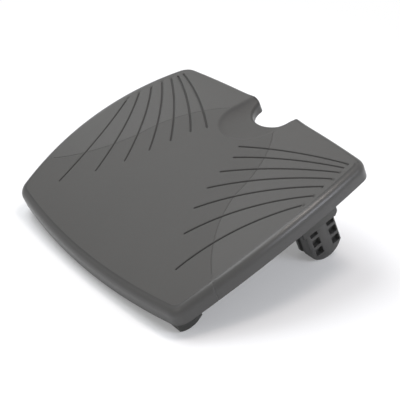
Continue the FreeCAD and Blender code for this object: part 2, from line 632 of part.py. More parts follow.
def leg_socket():
    """Right-hand socket: a square tube with a fixing flange, a key rib and a spring window."""
    tube = box_between(SOCKET_INNER_FACE, SOCKET_OUTER_FACE, SOCKET_FRONT_FACE, SOCKET_REAR_FACE,
                       SOCKET_BOTTOM, SOCKET_TOP)
    uprights = [edge for edge in tube.Edges if edge.BoundBox.ZLength > 1]
    tube = tube.makeFillet(SOCKET_EDGE_RADIUS, uprights)
    chamfer = Part.makePolygon([
        Vector(0, SOCKET_REAR_FACE - SOCKET_CHAMFER, SOCKET_BOTTOM),
        Vector(0, SOCKET_REAR_FACE + OVERCUT, SOCKET_BOTTOM + SOCKET_CHAMFER + OVERCUT),
        Vector(0, SOCKET_REAR_FACE + OVERCUT, SOCKET_BOTTOM - OVERCUT),
        Vector(0, SOCKET_REAR_FACE - SOCKET_CHAMFER, SOCKET_BOTTOM - OVERCUT),
        Vector(0, SOCKET_REAR_FACE - SOCKET_CHAMFER, SOCKET_BOTTOM),
    ])
    wedge = Part.Face(chamfer).extrude(Vector(2 * WIDEST_HALF_WIDTH, 0, 0))
    flange = box_between(SOCKET_INNER_FACE - FLANGE_MARGIN, SOCKET_OUTER_FACE + FLANGE_MARGIN,
                         SOCKET_FRONT_FACE, SOCKET_REAR_FACE, SOCKET_TOP - FLANGE_THICKNESS, SOCKET_TOP)
    corners = [edge for edge in flange.Edges if edge.BoundBox.ZLength > 1]
    flange = flange.makeFillet(BOSS_RADIUS, corners)
    socket = tube.cut(wedge).fuse([flange, socket_gusset()])
    gap = LEG_CLEARANCE
    wide = box_between(LEG_INNER - gap, LEG_OUTER + gap, LEG_FRONT - LEG_FLANGE - gap,
                       LEG_REAR + LEG_FLANGE + gap, LEDGE, SOCKET_TOP + OVERCUT)
    narrow = box_between(LEG_INNER - gap, LEG_OUTER + gap, LEG_FRONT - gap, LEG_REAR + gap,
                         SOCKET_BOTTOM - OVERCUT, LEDGE + OVERCUT)
    key = LEG_INNER + KEYWAY_CENTRE_FROM_INNER
    key_half = KEYWAY_WIDTH / 2 - gap
    key_rib = box_between(key - key_half, key + key_half, LEG_FRONT - gap - OVERCUT,
                          LEG_FRONT + KEYWAY_DEPTH - gap, SOCKET_BOTTOM, LEDGE)
    window = box_between(SOCKET_INNER_FACE - OVERCUT, LEG_INNER, LADDER_CENTRE - WINDOW_HALF_WIDTH,
                         LADDER_CENTRE + WINDOW_HALF_WIDTH, WINDOW_BOTTOM, WINDOW_TOP)
    holes = [post(x, y, SOCKET_TOP - FLANGE_THICKNESS - OVERCUT, SOCKET_TOP + OVERCUT, SCREW_RADIUS + HOLE_FIT)
             for x, y in socket_screw_places()]
    depth = COVER_SCREW_BITE + HOLE_EXTRA_DEPTH
    for y, z in cover_screw_places():
        holes.append(cross_rod(SOCKET_INNER_FACE - OVERCUT, SOCKET_INNER_FACE + depth, y, z,
                               COVER_SCREW_RADIUS + HOLE_FIT))
    return socket.cut([wide, narrow.cut(key_rib), window] + holes)


def socket_gusset():
    """Triangular stiffener between the tube's outer face and the flange, between the screws."""
    top = SOCKET_TOP - FLANGE_THICKNESS
    root = SOCKET_OUTER_FACE - OVERCUT
    y = LEG_CENTRE - GUSSET_THICKNESS / 2
    outline = Part.makePolygon([
        Vector(root, y, top), Vector(SOCKET_OUTER_FACE + GUSSET_SIZE, y, top),
        Vector(SOCKET_OUTER_FACE, y, top - GUSSET_SIZE), Vector(root, y, top - GUSSET_SIZE),
        Vector(root, y, top),
    ])
    return Part.Face(outline).extrude(Vector(0, GUSSET_THICKNESS, 0))


def cover_bounds():
    """Front, rear, bottom and top of the spring cover."""
    half = WINDOW_HALF_WIDTH + COVER_MARGIN
    return (LADDER_CENTRE - half, LADDER_CENTRE + half,
            WINDOW_BOTTOM - COVER_MARGIN, SOCKET_TOP - FLANGE_THICKNESS - STOP_GAP)


def cover_screw_places():
    front, rear, bottom, top = cover_bounds()
    inset = COVER_MARGIN / 2
    return [(y, z) for y in (front + inset, rear - inset) for z in (bottom + inset, top - 2 * inset)]


def peg_places():
    height = SPRING_TOP - SPRING_ROOT_HEIGHT / 2
    return [(LADDER_CENTRE - PEG_OFFSET, height), (LADDER_CENTRE + PEG_OFFSET, height)]


def spring_cover():
    """Right-hand plate over the spring window, with two pegs that carry the spring."""
    front, rear, bottom, top = cover_bounds()
    outer = SOCKET_INNER_FACE - COVER_THICKNESS
    plate = box_between(outer, SOCKET_INNER_FACE, front, rear, bottom, top)
    pegs = [cross_rod(outer, SOCKET_INNER_FACE + SPRING_THICKNESS + PEG_PROUD, y, z, PEG_RADIUS)
            for y, z in peg_places()]
    holes = [cross_rod(outer - OVERCUT, SOCKET_INNER_FACE + OVERCUT, y, z, COVER_SCREW_RADIUS + HOLE_FIT)
             for y, z in cover_screw_places()]
    return plate.fuse(pegs).cut(holes)


def spring_finger(y):
    """One finger of the spring: a flat arm with a vee nose that drops into a pocket."""
    x = SOCKET_INNER_FACE
    thick = SPRING_THICKNESS
    nose = LEG_INNER + NOSE_BITE
    half = NOSE_HALF_HEIGHT
    z = TOP_POCKET_CENTRE
    slant = thick * math.hypot(nose - x, half) / half
    outline = [
        (x + thick, SPRING_TOP - SPRING_ROOT_HEIGHT), (x + thick, z + half), (nose, z),
        (x + thick, z - half), (x + thick, SPRING_BOTTOM), (x, SPRING_BOTTOM),
        (x, z - half + thick), (nose - slant, z), (x, z + half - thick),
        (x, SPRING_TOP - SPRING_ROOT_HEIGHT),
    ]
    points = [Vector(a, y - FINGER_WIDTH / 2, b) for a, b in outline]
    return Part.Face(Part.makePolygon(points + points[:1])).extrude(Vector(0, FINGER_WIDTH, 0))


def detent_spring():
    """Right-hand leaf spring: two fingers on one root plate, which sits on the cover's pegs."""
    x = SOCKET_INNER_FACE
    root = box_between(x, x + SPRING_THICKNESS, LADDER_CENTRE - SPRING_HALF_WIDTH,
                       LADDER_CENTRE + SPRING_HALF_WIDTH, SPRING_TOP - SPRING_ROOT_HEIGHT - OVERCUT, SPRING_TOP)
    fingers = [spring_finger(start + POCKET_WIDTH / 2) for start in pocket_columns()]
    holes = [cross_rod(x - OVERCUT, x + SPRING_THICKNESS + OVERCUT, y, z, PEG_RADIUS + HOLE_FIT)
             for y, z in peg_places()]
    return root.fuse(fingers).cut(holes)


# Screws

def upward_screw(x, y, seat, plate_thickness):
    """A screw whose head bears on the underside of a plate and whose shank bites the boss above."""
    head = post(x, y, seat - SCREW_HEAD_HEIGHT, seat, SCREW_HEAD_RADIUS)
    shank = post(x, y, seat - OVERCUT, seat + plate_thickness + SCREW_BITE, SCREW_RADIUS)
    return head.fuse(shank)


def front_bar_screws():
    return Part.makeCompound([upward_screw(x, y, BAR_SEAT - TOWER_WEB, TOWER_WEB)
                              for x, y in bar_boss_places()])


def socket_screws():
    return Part.makeCompound([upward_screw(x, y, SOCKET_TOP - FLANGE_THICKNESS, FLANGE_THICKNESS)
                              for x, y in socket_screw_places()])


def cover_screws():
    face = SOCKET_INNER_FACE - COVER_THICKNESS
    screws = []
    for y, z in cover_screw_places():
        head = cross_rod(face - COVER_SCREW_HEAD_HEIGHT, face, y, z, COVER_SCREW_HEAD_RADIUS)
        shank = cross_rod(face - OVERCUT, SOCKET_INNER_FACE + COVER_SCREW_BITE, y, z, COVER_SCREW_RADIUS)
        screws.append(head.fuse(shank))
    return Part.makeCompound(screws)


# Assembly

def standing_angle():
    """How far the plate leans back when both its front bar and its legs touch the floor."""
    along = LEG_CENTRE - BAR_CENTRE
    drop = BAR_ARC_CENTRE - LEG_ARC_CENTRE
    radius_step = LEG_TIP_RADIUS - BAR_ARC_RADIUS
    return math.degrees(math.atan2(drop, along) + math.asin(radius_step / math.hypot(along, drop)))


def stand_up(shapes):
    """Lean the assembly back and put the centre of its base on the origin."""
    angle = standing_angle()
    for shape in shapes.values():
        shape.rotate(Vector(0, 0, 0), Vector(1, 0, 0), angle)
    floor = min(shape.optimalBoundingBox(False).ZMin for shape in shapes.values())
    front = min(shape.optimalBoundingBox(False).YMin for shape in shapes.values())
    rear = max(shape.optimalBoundingBox(False).YMax for shape in shapes.values())
    shift = Vector(0, -(front + rear) / 2, -floor)
    for shape in shapes.values():
        shape.translate(shift)
    return angle, shift


def build():
    right = {
        "leg": leg(),
        "leg_tread": leg_tread(),
        "leg_socket": leg_socket(),
        "socket_screws": socket_screws(),
        "detent_spring": detent_spring(),
        "spring_cover": spring_cover(),
        "cover_screws": cover_screws(),
        "bar_tread": bar_treads(),
        "bar_end_cap": bar_end_cap(),
    }
    shapes = {
        "deck_tray": deck_tray(),
        "front_foot_bar": front_foot_bar(),
        "front_bar_screws": front_bar_screws(),
    }
    for name, shape in right.items():
        shapes["right_" + name] = shape
        shapes["left_" + name] = mirrored(shape)
    return shapes


os.makedirs("parts", exist_ok=True)
pieces = build()
lean, offset = stand_up(pieces)
for name, shape in pieces.items():
    shape.exportStep("parts/" + name + ".step")
print("lean %.5f degrees, plate frame origin at y %.3f z %.3f, leg travel %.1f" % (
    lean, offset.y, offset.z, LEG_TRAVEL))
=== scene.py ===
import math

import bmesh
import bpy
import numpy as np
from bpy.props import FloatProperty, FloatVectorProperty, PointerProperty
from mathutils import Euler, Matrix, Vector, geometry


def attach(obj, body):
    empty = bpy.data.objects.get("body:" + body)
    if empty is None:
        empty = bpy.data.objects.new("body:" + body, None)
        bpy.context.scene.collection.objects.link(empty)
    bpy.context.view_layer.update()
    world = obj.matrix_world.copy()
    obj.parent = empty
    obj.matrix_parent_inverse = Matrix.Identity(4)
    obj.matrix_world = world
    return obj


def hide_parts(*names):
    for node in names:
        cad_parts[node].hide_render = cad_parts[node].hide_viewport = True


bl_info = {
    "name": "Tilting footrest",
    "version": (1, 0, 0),
    "blender": (4, 5, 0),
    "location": "3D View > Sidebar > Footrest",
    "description": "Builds the visible pieces of a tilting under-desk footrest on its fixed frame",
    "category": "Object",
}

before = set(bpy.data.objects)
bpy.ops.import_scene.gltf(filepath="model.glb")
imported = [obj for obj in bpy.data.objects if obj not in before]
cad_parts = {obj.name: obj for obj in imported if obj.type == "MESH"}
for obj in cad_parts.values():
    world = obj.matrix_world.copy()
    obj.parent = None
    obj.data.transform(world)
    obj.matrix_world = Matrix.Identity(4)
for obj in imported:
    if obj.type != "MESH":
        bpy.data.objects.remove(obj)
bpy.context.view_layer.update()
MM = 0.001

# The plate's own frame, in millimetres: X across, Y along the plate, Z square to it
LEAN = math.radians(21.98976)
PLATE_ORIGIN = Vector((0.0, -155.624, 38.277)) * MM
CORNER_HALF_WIDTH = 204.0
SIDE_BOW = 23.0
PLATE_DEPTH = 328.0
FRONT_BOW = 18.9
REAR_BOW = 12.1
CORNER_RADIUS = 24.0
CROWN_RISE = 15.8
SKIRT_HEIGHT = 24.0
EDGE_RADIUS = 11.0
NOTCH_RADIUS = 37.0
LIP_RADIUS = 10.0
REAR_EDGE = PLATE_DEPTH + REAR_BOW
SCOOP_CENTRE = REAR_EDGE - 45.0
MIDDLE = PLATE_DEPTH / 2
WIDEST = CORNER_HALF_WIDTH + SIDE_BOW
CROWN_RADIUS = (MIDDLE ** 2 + CROWN_RISE ** 2) / (2 * CROWN_RISE)
PLATE_TO_ROW = Matrix.Translation(PLATE_ORIGIN) @ Matrix.Rotation(LEAN, 4, "X")

# Depth below the surface, radius and centre of the scoop's level lines
SCOOP_LEVELS = ((-4.0, 50.5, -1.5), (0.0, 48.0, 0.0), (7.2, 41.28, 6.0), (12.0, 29.76, 25.0))

# Grip grooves and style lines of the right half: inner end, outer end, bow; then three-point arcs
GROOVES = (
    ((149.0, 47.0), (209.0, 219.0), 10.0),
    ((111.0, 91.0), (206.0, 238.0), 10.0),
    ((86.0, 128.0), (202.0, 258.0), 8.5),
    ((71.0, 163.0), (201.0, 277.0), 7.0),
    ((60.0, 194.0), (195.0, 290.0), 5.5),
    ((51.0, 224.0), (191.0, 300.0), 5.5),
    ((38.0, 244.0), (189.0, 309.0), 5.5),
)
CREASE_REAR = ((51.0, 294.0), (93.0, 241.0), (115.0, 178.0))
CREASE_FRONT = ((115.0, 178.0), (146.0, 120.0), (216.0, 58.0))

# Right leg, its pockets and its socket
LEG_INNER = 126.5
LEG_OUTER = 160.0
LEG_FRONT = 230.5
LEG_REAR = 280.8
LEG_TIP_RADIUS = 30.0
LEG_TIP_LOWEST = -141.3
LEG_TIP_POINTS = 34
LEG_TOP = -36.0
LEG_FLANGE = 3.0
LEG_FLANGE_HEIGHT = 4.0
POCKET_SIZE = (8.0, 12.6, 12.0)
POCKET_PITCH = 17.3
POCKET_ROWS = 5
TOP_POCKET_CENTRE = -53.0
POCKET_FRONT_BORDER = 6.1
POCKET_REAR_BORDER = 1.8
KEYWAY_FROM_INNER = 9.5
KEYWAY_WIDTH = 8.0
KEYWAY_DEPTH = 2.5

# Spacing of the points along the outline, and round where a style line runs over the side
SIDE_STEP = 4.0
REAR_STEP = 3.0
CORNER_STEP = 2.0
LIP_STEP = 1.0
CROSSING_STEP = 0.3
CROSSING_REACH = 3.0

# The rim: rings of points over the ball-shaped edge, and a smaller rounding that takes over beside the notch
BALL_STEPS = 9
RING_COUNT = 14
CROWN_RING_STEP = 1.6
ROUNDING_RINGS = 8
NOTCH_RING_REACH = 8.4
SKIRT_STEPS = 4
NOTCH_EDGE_RADIUS = 3.0
REAR_RIM_RADIUS = 7.0
RIM_FADE_START = NOTCH_RADIUS - 4.0
RIM_FADE_LENGTH = 34.0
NOTCH_INFLUENCE = 82.0
NOTCH_INFLUENCE_FADE = 30.0
NOTCH_INFLUENCE_FRONT = 250.0

# The top: the soft meeting of scoop and crown, rows of points beside the lines, and the grid between them
SCOOP_BLEND = 1.2
SCOOP_HALVINGS = 24
GROOVE_ROWS = (-2.3, -1.6, -1.3, -1.05, -0.8, -0.5, 0.0, 0.5, 0.8, 1.05, 1.3, 1.6, 2.3)
CREASE_ROWS = (-1.8, -1.1, -0.8, -0.5, 0.0, 0.5, 0.8, 1.1, 1.8)
ROW_STEP = 2.5
CARVING_STEP = 1.5
CREASE_OVERRUN = 6.0
COARSE_GRID = 6.0
FINE_GRID = 1.8
FINE_HALF_WIDTH = 58.0
FINE_FRONT = 236.0
FINE_MARGIN = 2.0
CLEAR_OF_PATHS = 3.2
CLEAR_OF_RIM = 1.6

# Shares of a groove's width, from its middle, to which its floor and its sides reach
GROOVE_FLOOR = 0.18
GROOVE_REACH = 0.6

# Which faces of the CAD plate are its underside, and how they join the skin
CAD_MERGE_GAP = 0.00002
MERGE_GAP = 0.000005
ON_FOOT_GAP = 0.05
CLEAR_OF_EDGE = 1.2
CLEAR_OF_TOP = 1.6
LEAST_SLOPE = 0.1
LARGEST_HOLE = 12

# Where the plate's finish, its painted shade on the edge and skirt and its painted sheen on the wings change, as
# widths and as depth below the top
EDGE_FADE = 12.0
SKIRT_BELOW = 13.0
WING_FADE = 0.6

# Mouldings: edges flatter than the first angle go, and edges past the second are rounded
FLAT_ANGLE = math.radians(0.6)
ROUNDED_ANGLE = math.radians(34)

# Screws: head radius, head height, shank radius, length under the head
WOOD_SCREW = (3.4, 2.2, 1.7, 8.0)
COVER_SCREW = (2.4, 1.5, 1.2, 6.1)
SCREW_SIDES = 24
SCREW_POINT = 1.2
THREAD_START = 0.4
THREAD_PITCH = 1.1
BAR_SCREW_SEAT = -7.0
BAR_SCREW_Y = 19.75
BAR_SCREW_X = (30.0, 100.0, 170.0)
SOCKET_SCREW_SEAT = -5.0
SOCKET_SCREW_X = (114.0, 169.5)
SOCKET_SCREW_Y = (230.6, 282.1)
COVER_SCREW_SEAT = 118.0
COVER_SCREW_Y = (234.3, 281.3)
COVER_SCREW_Z = (-75.0, -11.3)

# Camera, solved from the photograph's frame, in metres and radians
CAMERA_PLACE = (1.2310, -0.8424, 0.8621)
CAMERA_YAW = 0.9557256
CAMERA_PITCH = 0.4928225
CAMERA_LENS = 108.85
CAMERA_SENSOR = 36.0

# Lamps: name, place, edge lengths and colour; a setting holds each one's power
LAMPS = (
    ("key", (-0.8, -0.4, 2.35), (1.5, 1.5), (0.97, 0.985, 1.0)),
    ("high", (0.4, 0.4, 2.4), (0.6, 0.6), (1.0, 0.91, 0.86)),
    ("side", (-1.7, 0.15, 1.2), (0.6, 0.6), (0.92, 0.96, 1.0)),
    ("window", (1.365, 0.634, 0.9), (0.9, 0.5), (0.88, 0.9, 1.0)),
    ("front", (0.3, -2.0, 1.2), (1.0, 1.0), (1.0, 0.97, 0.93)),
)
LAMP_TARGET = Vector((0.0, 0.0, 0.06))
FLOOR_HALF = 6.0
FLOOR_COLOUR = (0.95, 0.955, 0.965, 1.0)
SKY_COLOUR = (0.97, 0.985, 1.0, 1.0)


# Plate outline and heights

def bow_radius(half_chord, bow):
    return (half_chord ** 2 + bow ** 2) / (2 * bow)


def circles_meet(centre_a, radius_a, centre_b, radius_b):
    """The crossing of two circles with the larger x."""
    apart = centre_b - centre_a
    distance = np.linalg.norm(apart)
    along = (distance ** 2 + radius_a ** 2 - radius_b ** 2) / (2 * distance)
    aside = math.sqrt(radius_a ** 2 - along ** 2)
    unit = apart / distance
    square = np.array((-unit[1], unit[0]))
    both = (centre_a + unit * along + square * aside, centre_a + unit * along - square * aside)
    return max(both, key=lambda point: point[0])


FRONT_RADIUS = bow_radius(CORNER_HALF_WIDTH, FRONT_BOW)
REAR_RADIUS = bow_radius(CORNER_HALF_WIDTH, REAR_BOW)
SIDE_RADIUS = bow_radius(MIDDLE, SIDE_BOW)
FRONT_CENTRE = np.array((0.0, FRONT_RADIUS - FRONT_BOW))
REAR_CENTRE = np.array((0.0, REAR_EDGE - REAR_RADIUS))
SIDE_CENTRE = np.array((WIDEST - SIDE_RADIUS, MIDDLE))
FRONT_HEART, REAR_HEART = (
    circles_meet(centre, radius - CORNER_RADIUS, SIDE_CENTRE, SIDE_RADIUS - CORNER_RADIUS)
    for centre, radius in ((FRONT_CENTRE, FRONT_RADIUS), (REAR_CENTRE, REAR_RADIUS)))
NOTCH_CENTRE = np.array((0.0, REAR_EDGE))
LIP_HEART = circles_meet(REAR_CENTRE, REAR_RADIUS - LIP_RADIUS, NOTCH_CENTRE, NOTCH_RADIUS + LIP_RADIUS)


def angle_to(centre, point):
    return math.atan2(point[1] - centre[1], point[0] - centre[0])


def along_arc(centre, radius, start, end, step, outward=1.0):
    """Points and outward normals on an arc from one angle to another, without the last point."""
    count = max(2, int(math.ceil(abs(end - start) * radius / step)))
    angles = start + (end - start) * np.arange(count) / count
    way = np.stack((np.cos(angles), np.sin(angles)), axis=1)
    return np.asarray(centre) + way * radius, way * outward


def half_outline():
    """Right half of the outline from the front's middle to the notch's innermost point."""
    down = -math.pi / 2
    front_turn = angle_to(FRONT_CENTRE, FRONT_HEART)
    side_low = angle_to(SIDE_CENTRE, FRONT_HEART)
    side_high = angle_to(SIDE_CENTRE, REAR_HEART)
    rear_turn = angle_to(REAR_CENTRE, REAR_HEART)
    lip_rear = angle_to(REAR_CENTRE, LIP_HEART)
    lip_notch = angle_to(LIP_HEART, NOTCH_CENTRE)
    crossing = angle_to(SIDE_CENTRE, CREASE_FRONT[2])
    fine = CROSSING_REACH / SIDE_RADIUS
    runs = [
        along_arc(FRONT_CENTRE, FRONT_RADIUS, down, front_turn, SIDE_STEP),
        along_arc(FRONT_HEART, CORNER_RADIUS, front_turn, side_low, CORNER_STEP),
        along_arc(SIDE_CENTRE, SIDE_RADIUS, side_low, crossing - fine, SIDE_STEP),
        along_arc(SIDE_CENTRE, SIDE_RADIUS, crossing - fine, crossing + fine, CROSSING_STEP),
        along_arc(SIDE_CENTRE, SIDE_RADIUS, crossing + fine, side_high, SIDE_STEP),
        along_arc(REAR_HEART, CORNER_RADIUS, side_high, rear_turn, CORNER_STEP),
        along_arc(REAR_CENTRE, REAR_RADIUS, rear_turn, lip_rear, REAR_STEP),
        along_arc(LIP_HEART, LIP_RADIUS, lip_rear, lip_notch, LIP_STEP),
        along_arc(NOTCH_CENTRE, NOTCH_RADIUS, lip_notch - math.pi, down, CORNER_STEP, -1.0),
    ]
    points = np.concatenate([run[0] for run in runs] + [np.array([[0.0, REAR_EDGE - NOTCH_RADIUS]])])
    normals = np.concatenate([run[1] for run in runs] + [np.array([[0.0, 1.0]])])
    return points, normals


def whole_outline():
    """The closed outline and its outward normals."""
    points, normals = half_outline()
    flip = np.array((-1.0, 1.0))
    left_points = (points * flip)[-2:0:-1]
    left_normals = (normals * flip)[-2:0:-1]
    return np.concatenate((points, left_points)), np.concatenate((normals, left_normals))


def crown(y):
    """Height of the arched top."""
    return CROWN_RISE - CROWN_RADIUS + np.sqrt(CROWN_RADIUS ** 2 - (y - MIDDLE) ** 2)


def inside_outline(x, y):
    """Distance in from the plate's outline, as if it had no notch."""
    x = np.abs(x)

    def within(centre, radius):
        return radius - np.hypot(x - centre[0], y - centre[1])

    depth = np.minimum(within(FRONT_CENTRE, FRONT_RADIUS), within(REAR_CENTRE, REAR_RADIUS))
    depth = np.minimum(depth, within(SIDE_CENTRE, SIDE_RADIUS))
    for heart, edge_centre in ((FRONT_HEART, FRONT_CENTRE), (REAR_HEART, REAR_CENTRE)):
        ways = [(heart - centre) / np.linalg.norm(heart - centre) for centre in (edge_centre, SIDE_CENTRE)]
        if ways[0][0] * ways[1][1] - ways[0][1] * ways[1][0] < 0:
            ways.reverse()
        across, over = x - heart[0], y - heart[1]
        past_first = ways[0][0] * over - ways[0][1] * across >= 0
        in_wedge = past_first & (across * ways[1][1] - over * ways[1][0] >= 0)
        depth = np.where(in_wedge, CORNER_RADIUS - np.hypot(across, over), depth)
    return depth


def level_curves(depth):
    """Radius and centre of the scoop's level line at a depth, by cubic interpolation."""
    radius = np.zeros_like(depth)
    centre = np.zeros_like(depth)
    for i, (own, level_radius, level_centre) in enumerate(SCOOP_LEVELS):
        share = np.ones_like(depth)
        for j, (other, _, _) in enumerate(SCOOP_LEVELS):
            if i != j:
                share = share * (depth - other) / (own - other)
        radius += share * level_radius
        centre += share * (SCOOP_CENTRE + level_centre)
    return radius, centre


def scoop_height(x, y):
    """Height of the scoop's bowl, found on the level line through each point."""
    low = np.full_like(x, SCOOP_LEVELS[0][0])
    high = np.full_like(x, SCOOP_LEVELS[-1][0])
    for _ in range(SCOOP_HALVINGS):
        middle = (low + high) / 2
        radius, centre = level_curves(middle)
        away = np.where(y > centre, np.abs(x), np.hypot(x, y - centre))
        outside = away > radius
        high = np.where(outside, middle, high)
        low = np.where(outside, low, middle)
    slope = -(SCOOP_CENTRE - MIDDLE) / math.sqrt(CROWN_RADIUS ** 2 - (SCOOP_CENTRE - MIDDLE) ** 2)
    surface = crown(np.array(SCOOP_CENTRE)) + slope * (y - SCOOP_CENTRE)
    return surface - (low + high) / 2


def soft_min(a, b, width):
    """The smaller of two heights, with a soft meeting of the given width."""
    share = np.clip(0.5 + 0.5 * (b - a) / width, 0.0, 1.0)
    return b * (1 - share) + a * share - width * share * (1 - share)


def near_notch(x, y):
    """1 beside the notch, falling to 0 along the rear edge."""
    share = np.clip((NOTCH_INFLUENCE - np.abs(x)) / NOTCH_INFLUENCE_FADE, 0.0, 1.0)
    return np.where(y > NOTCH_INFLUENCE_FRONT, share * share * (3 - 2 * share), 0.0)


def quarter_drop(depth, radius):
    """How far a quarter round has dropped, by the distance in from its edge."""
    depth = np.clip(depth, 0.0, radius)
    return radius - np.sqrt(np.maximum(0.0, radius ** 2 - (radius - depth) ** 2))


def top_height(x, y):
    """The plate's top surface with the scoop cut into it."""
    return soft_min(crown(y), scoop_height(x, y), SCOOP_BLEND)


def rim_radius(x):
    """Rounding of the rim beside the notch: small inside it, larger along the rear edge."""
    share = np.clip((np.abs(x) - RIM_FADE_START) / RIM_FADE_LENGTH, 0.0, 1.0)
    return NOTCH_EDGE_RADIUS + (REAR_RIM_RADIUS - NOTCH_EDGE_RADIUS) * share * share * (3 - 2 * share)


# Plate mesh

def edge_rings():
    """Rings of points from the skirt over the rounded edge and onto the top."""
    points, normals = whole_outline()
    share = near_notch(points[:, 0], points[:, 1])
    radius = rim_radius(points[:, 0])
    inner_radius = CROWN_RADIUS - EDGE_RADIUS
    hearts = points - normals * EDGE_RADIUS
    from_middle = hearts[:, 1] - MIDDLE
    heart_height = CROWN_RISE - CROWN_RADIUS + np.sqrt(inner_radius ** 2 - from_middle ** 2)
    up_y = from_middle / inner_radius
    up_z = np.sqrt(1 - up_y ** 2)
    turn = np.arccos(np.clip(normals[:, 1] * up_y, -1, 1))
    rings = []
    for index in range(RING_COUNT):
        part = min(1.0, index / (BALL_STEPS - 1))
        out = np.sin((1 - part) * turn) / np.sin(turn)
        rise = np.sin(part * turn) / np.sin(turn)
        ball_x = hearts[:, 0] + EDGE_RADIUS * normals[:, 0] * out
        ball_y = hearts[:, 1] + EDGE_RADIUS * (normals[:, 1] * out + up_y * rise)
        ball_z = heart_height + EDGE_RADIUS * up_z * rise
        beyond = max(0, index - BALL_STEPS + 1) * CROWN_RING_STEP
        if beyond:
            ball_x = ball_x - normals[:, 0] * beyond
            ball_y = ball_y - normals[:, 1] * beyond
            ball_z = crown(ball_y)
        round_part = min(1.0, index / (ROUNDING_RINGS - 1))
        onward = max(0, index - ROUNDING_RINGS + 1) / (RING_COUNT - ROUNDING_RINGS)
        distance = radius * (1 - math.cos(round_part * math.pi / 2))
        distance = distance + (NOTCH_RING_REACH - radius) * onward
        notch_x = points[:, 0] - normals[:, 0] * distance
        notch_y = points[:, 1] - normals[:, 1] * distance
        notch_z = top_height(notch_x, notch_y) - radius * (1 - math.sin(round_part * math.pi / 2))
        rings.append(np.stack([ball * (1 - share) + notch * share for ball, notch in (
            (ball_x, notch_x), (ball_y, notch_y), (ball_z, notch_z))], axis=1))
    return rings


def arc_path(start, middle, end, step):
    """Points along the arc through three points."""
    a, b, c = (np.array(point, float) for point in (start, middle, end))
    span = np.array((b - a, c - a))
    half = np.array(((b @ b - a @ a) / 2, (c @ c - a @ a) / 2))
    centre = np.linalg.solve(span, half)
    radius = np.linalg.norm(a - centre)
    first, last = angle_to(centre, a), angle_to(centre, c)
    through = angle_to(centre, b)
    turn = (last - first + math.pi) % (2 * math.pi) - math.pi
    part = (through - first + math.pi) % (2 * math.pi) - math.pi
    if turn * part < 0:
        turn -= math.copysign(2 * math.pi, turn)
    count = max(2, int(math.ceil(abs(turn) * radius / step)))
    angles = first + turn * np.arange(count + 1) / count
    return centre + radius * np.stack((np.cos(angles), np.sin(angles)), axis=1)


def bowed_middle(inner, outer, bow):
    """The middle point of an arc that bows out from the line between its ends."""
    inner, outer = np.array(inner), np.array(outer)
    along = outer - inner
    side = np.array((-along[1], along[0])) / np.linalg.norm(along) * bow
    return tuple((inner + outer) / 2 + side)


def with_mirrored(paths):
    """Each path, followed by its mirror image on the left."""
    return [side for path in paths for side in (path, path * np.array((-1.0, 1.0)))]


def groove_paths(step=ROW_STEP):
    return with_mirrored([arc_path(inner, bowed_middle(inner, outer, bow), outer, step)
                          for inner, outer, bow in GROOVES])


def crease_paths(step=ROW_STEP):
    """Style lines, carried a little past the plate's side."""
    front = arc_path(*CREASE_FRONT, step)
    onward = front[-1] + (front[-1] - front[-2]) / np.linalg.norm(front[-1] - front[-2]) * CREASE_OVERRUN
    return with_mirrored([arc_path(*CREASE_REAR, step), np.concatenate((front, onward[None, :]))])


def rows_beside(path, offsets):
    """Copies of a path moved sideways, and fans round both of its ends."""
    along = np.gradient(path, axis=0)
    along /= np.linalg.norm(along, axis=1)[:, None]
    side = np.stack((-along[:, 1], along[:, 0]), axis=1)
    rows = [path + side * offset for offset in offsets]
    loose = []
    for point, way in ((path[0], -along[0]), (path[-1], along[-1])):
        across = np.array((-way[1], way[0]))
        for offset in sorted({abs(value) for value in offsets if value}):
            for turn in (-60, -30, 0, 30, 60):
                angle = math.radians(turn)
                loose.append(point + (way * math.cos(angle) + across * math.sin(angle)) * offset)
    return rows, loose


def distance_to_paths(points, paths):
    """Distance from each point to the nearest of the paths, near enough for thinning out."""
    best = np.full(len(points), 1e9)
    for path in paths:
        for a, b in zip(path, path[1:]):
            span = b - a
            t = np.clip(((points - a) @ span) / (span @ span), 0, 1)
            gap = np.linalg.norm(points - (a + t[:, None] * span), axis=1)
            best = np.minimum(best, gap)
    return best


def within_loop(points, loop):
    """Which points lie inside a loop."""
    inside = np.zeros(len(points), bool)
    x, y = points[:, 0], points[:, 1]
    for a, b in zip(loop, np.roll(loop, -1, axis=0)):
        crosses = (a[1] > y) != (b[1] > y)
        if crosses.any():
            at = a[0] + (y - a[1]) / (b[1] - a[1] + 1e-12) * (b[0] - a[0])
            inside ^= crosses & (x < at)
    return inside


def closed(loop):
    """A loop with its first point again at its end."""
    return np.concatenate((loop, loop[:1]))


def field_points(loop, paths):
    """Even grid over the top, finer at the scoop, kept off the grooves and the rim."""
    def grid(step, half_width, front):
        xs = np.arange(-half_width, half_width, step)
        ys = np.arange(front, REAR_EDGE, step * math.sqrt(3) / 2)
        return np.concatenate([np.stack((xs + (row % 2) * step / 2, np.full(len(xs), y)), axis=1)
                               for row, y in enumerate(ys)])

    def at_scoop(points):
        return (np.abs(points[:, 0]) < FINE_HALF_WIDTH) & (points[:, 1] > FINE_FRONT)

    coarse = grid(COARSE_GRID, WIDEST, -FRONT_BOW)
    fine = grid(FINE_GRID, FINE_HALF_WIDTH + FINE_MARGIN, FINE_FRONT - FINE_MARGIN)
    points = np.concatenate((coarse[~at_scoop(coarse)], fine[at_scoop(fine)]))
    points = points[within_loop(points, loop)]
    points = points[distance_to_paths(points, paths) > CLEAR_OF_PATHS]
    return points[distance_to_paths(points, [closed(loop)]) > CLEAR_OF_RIM]


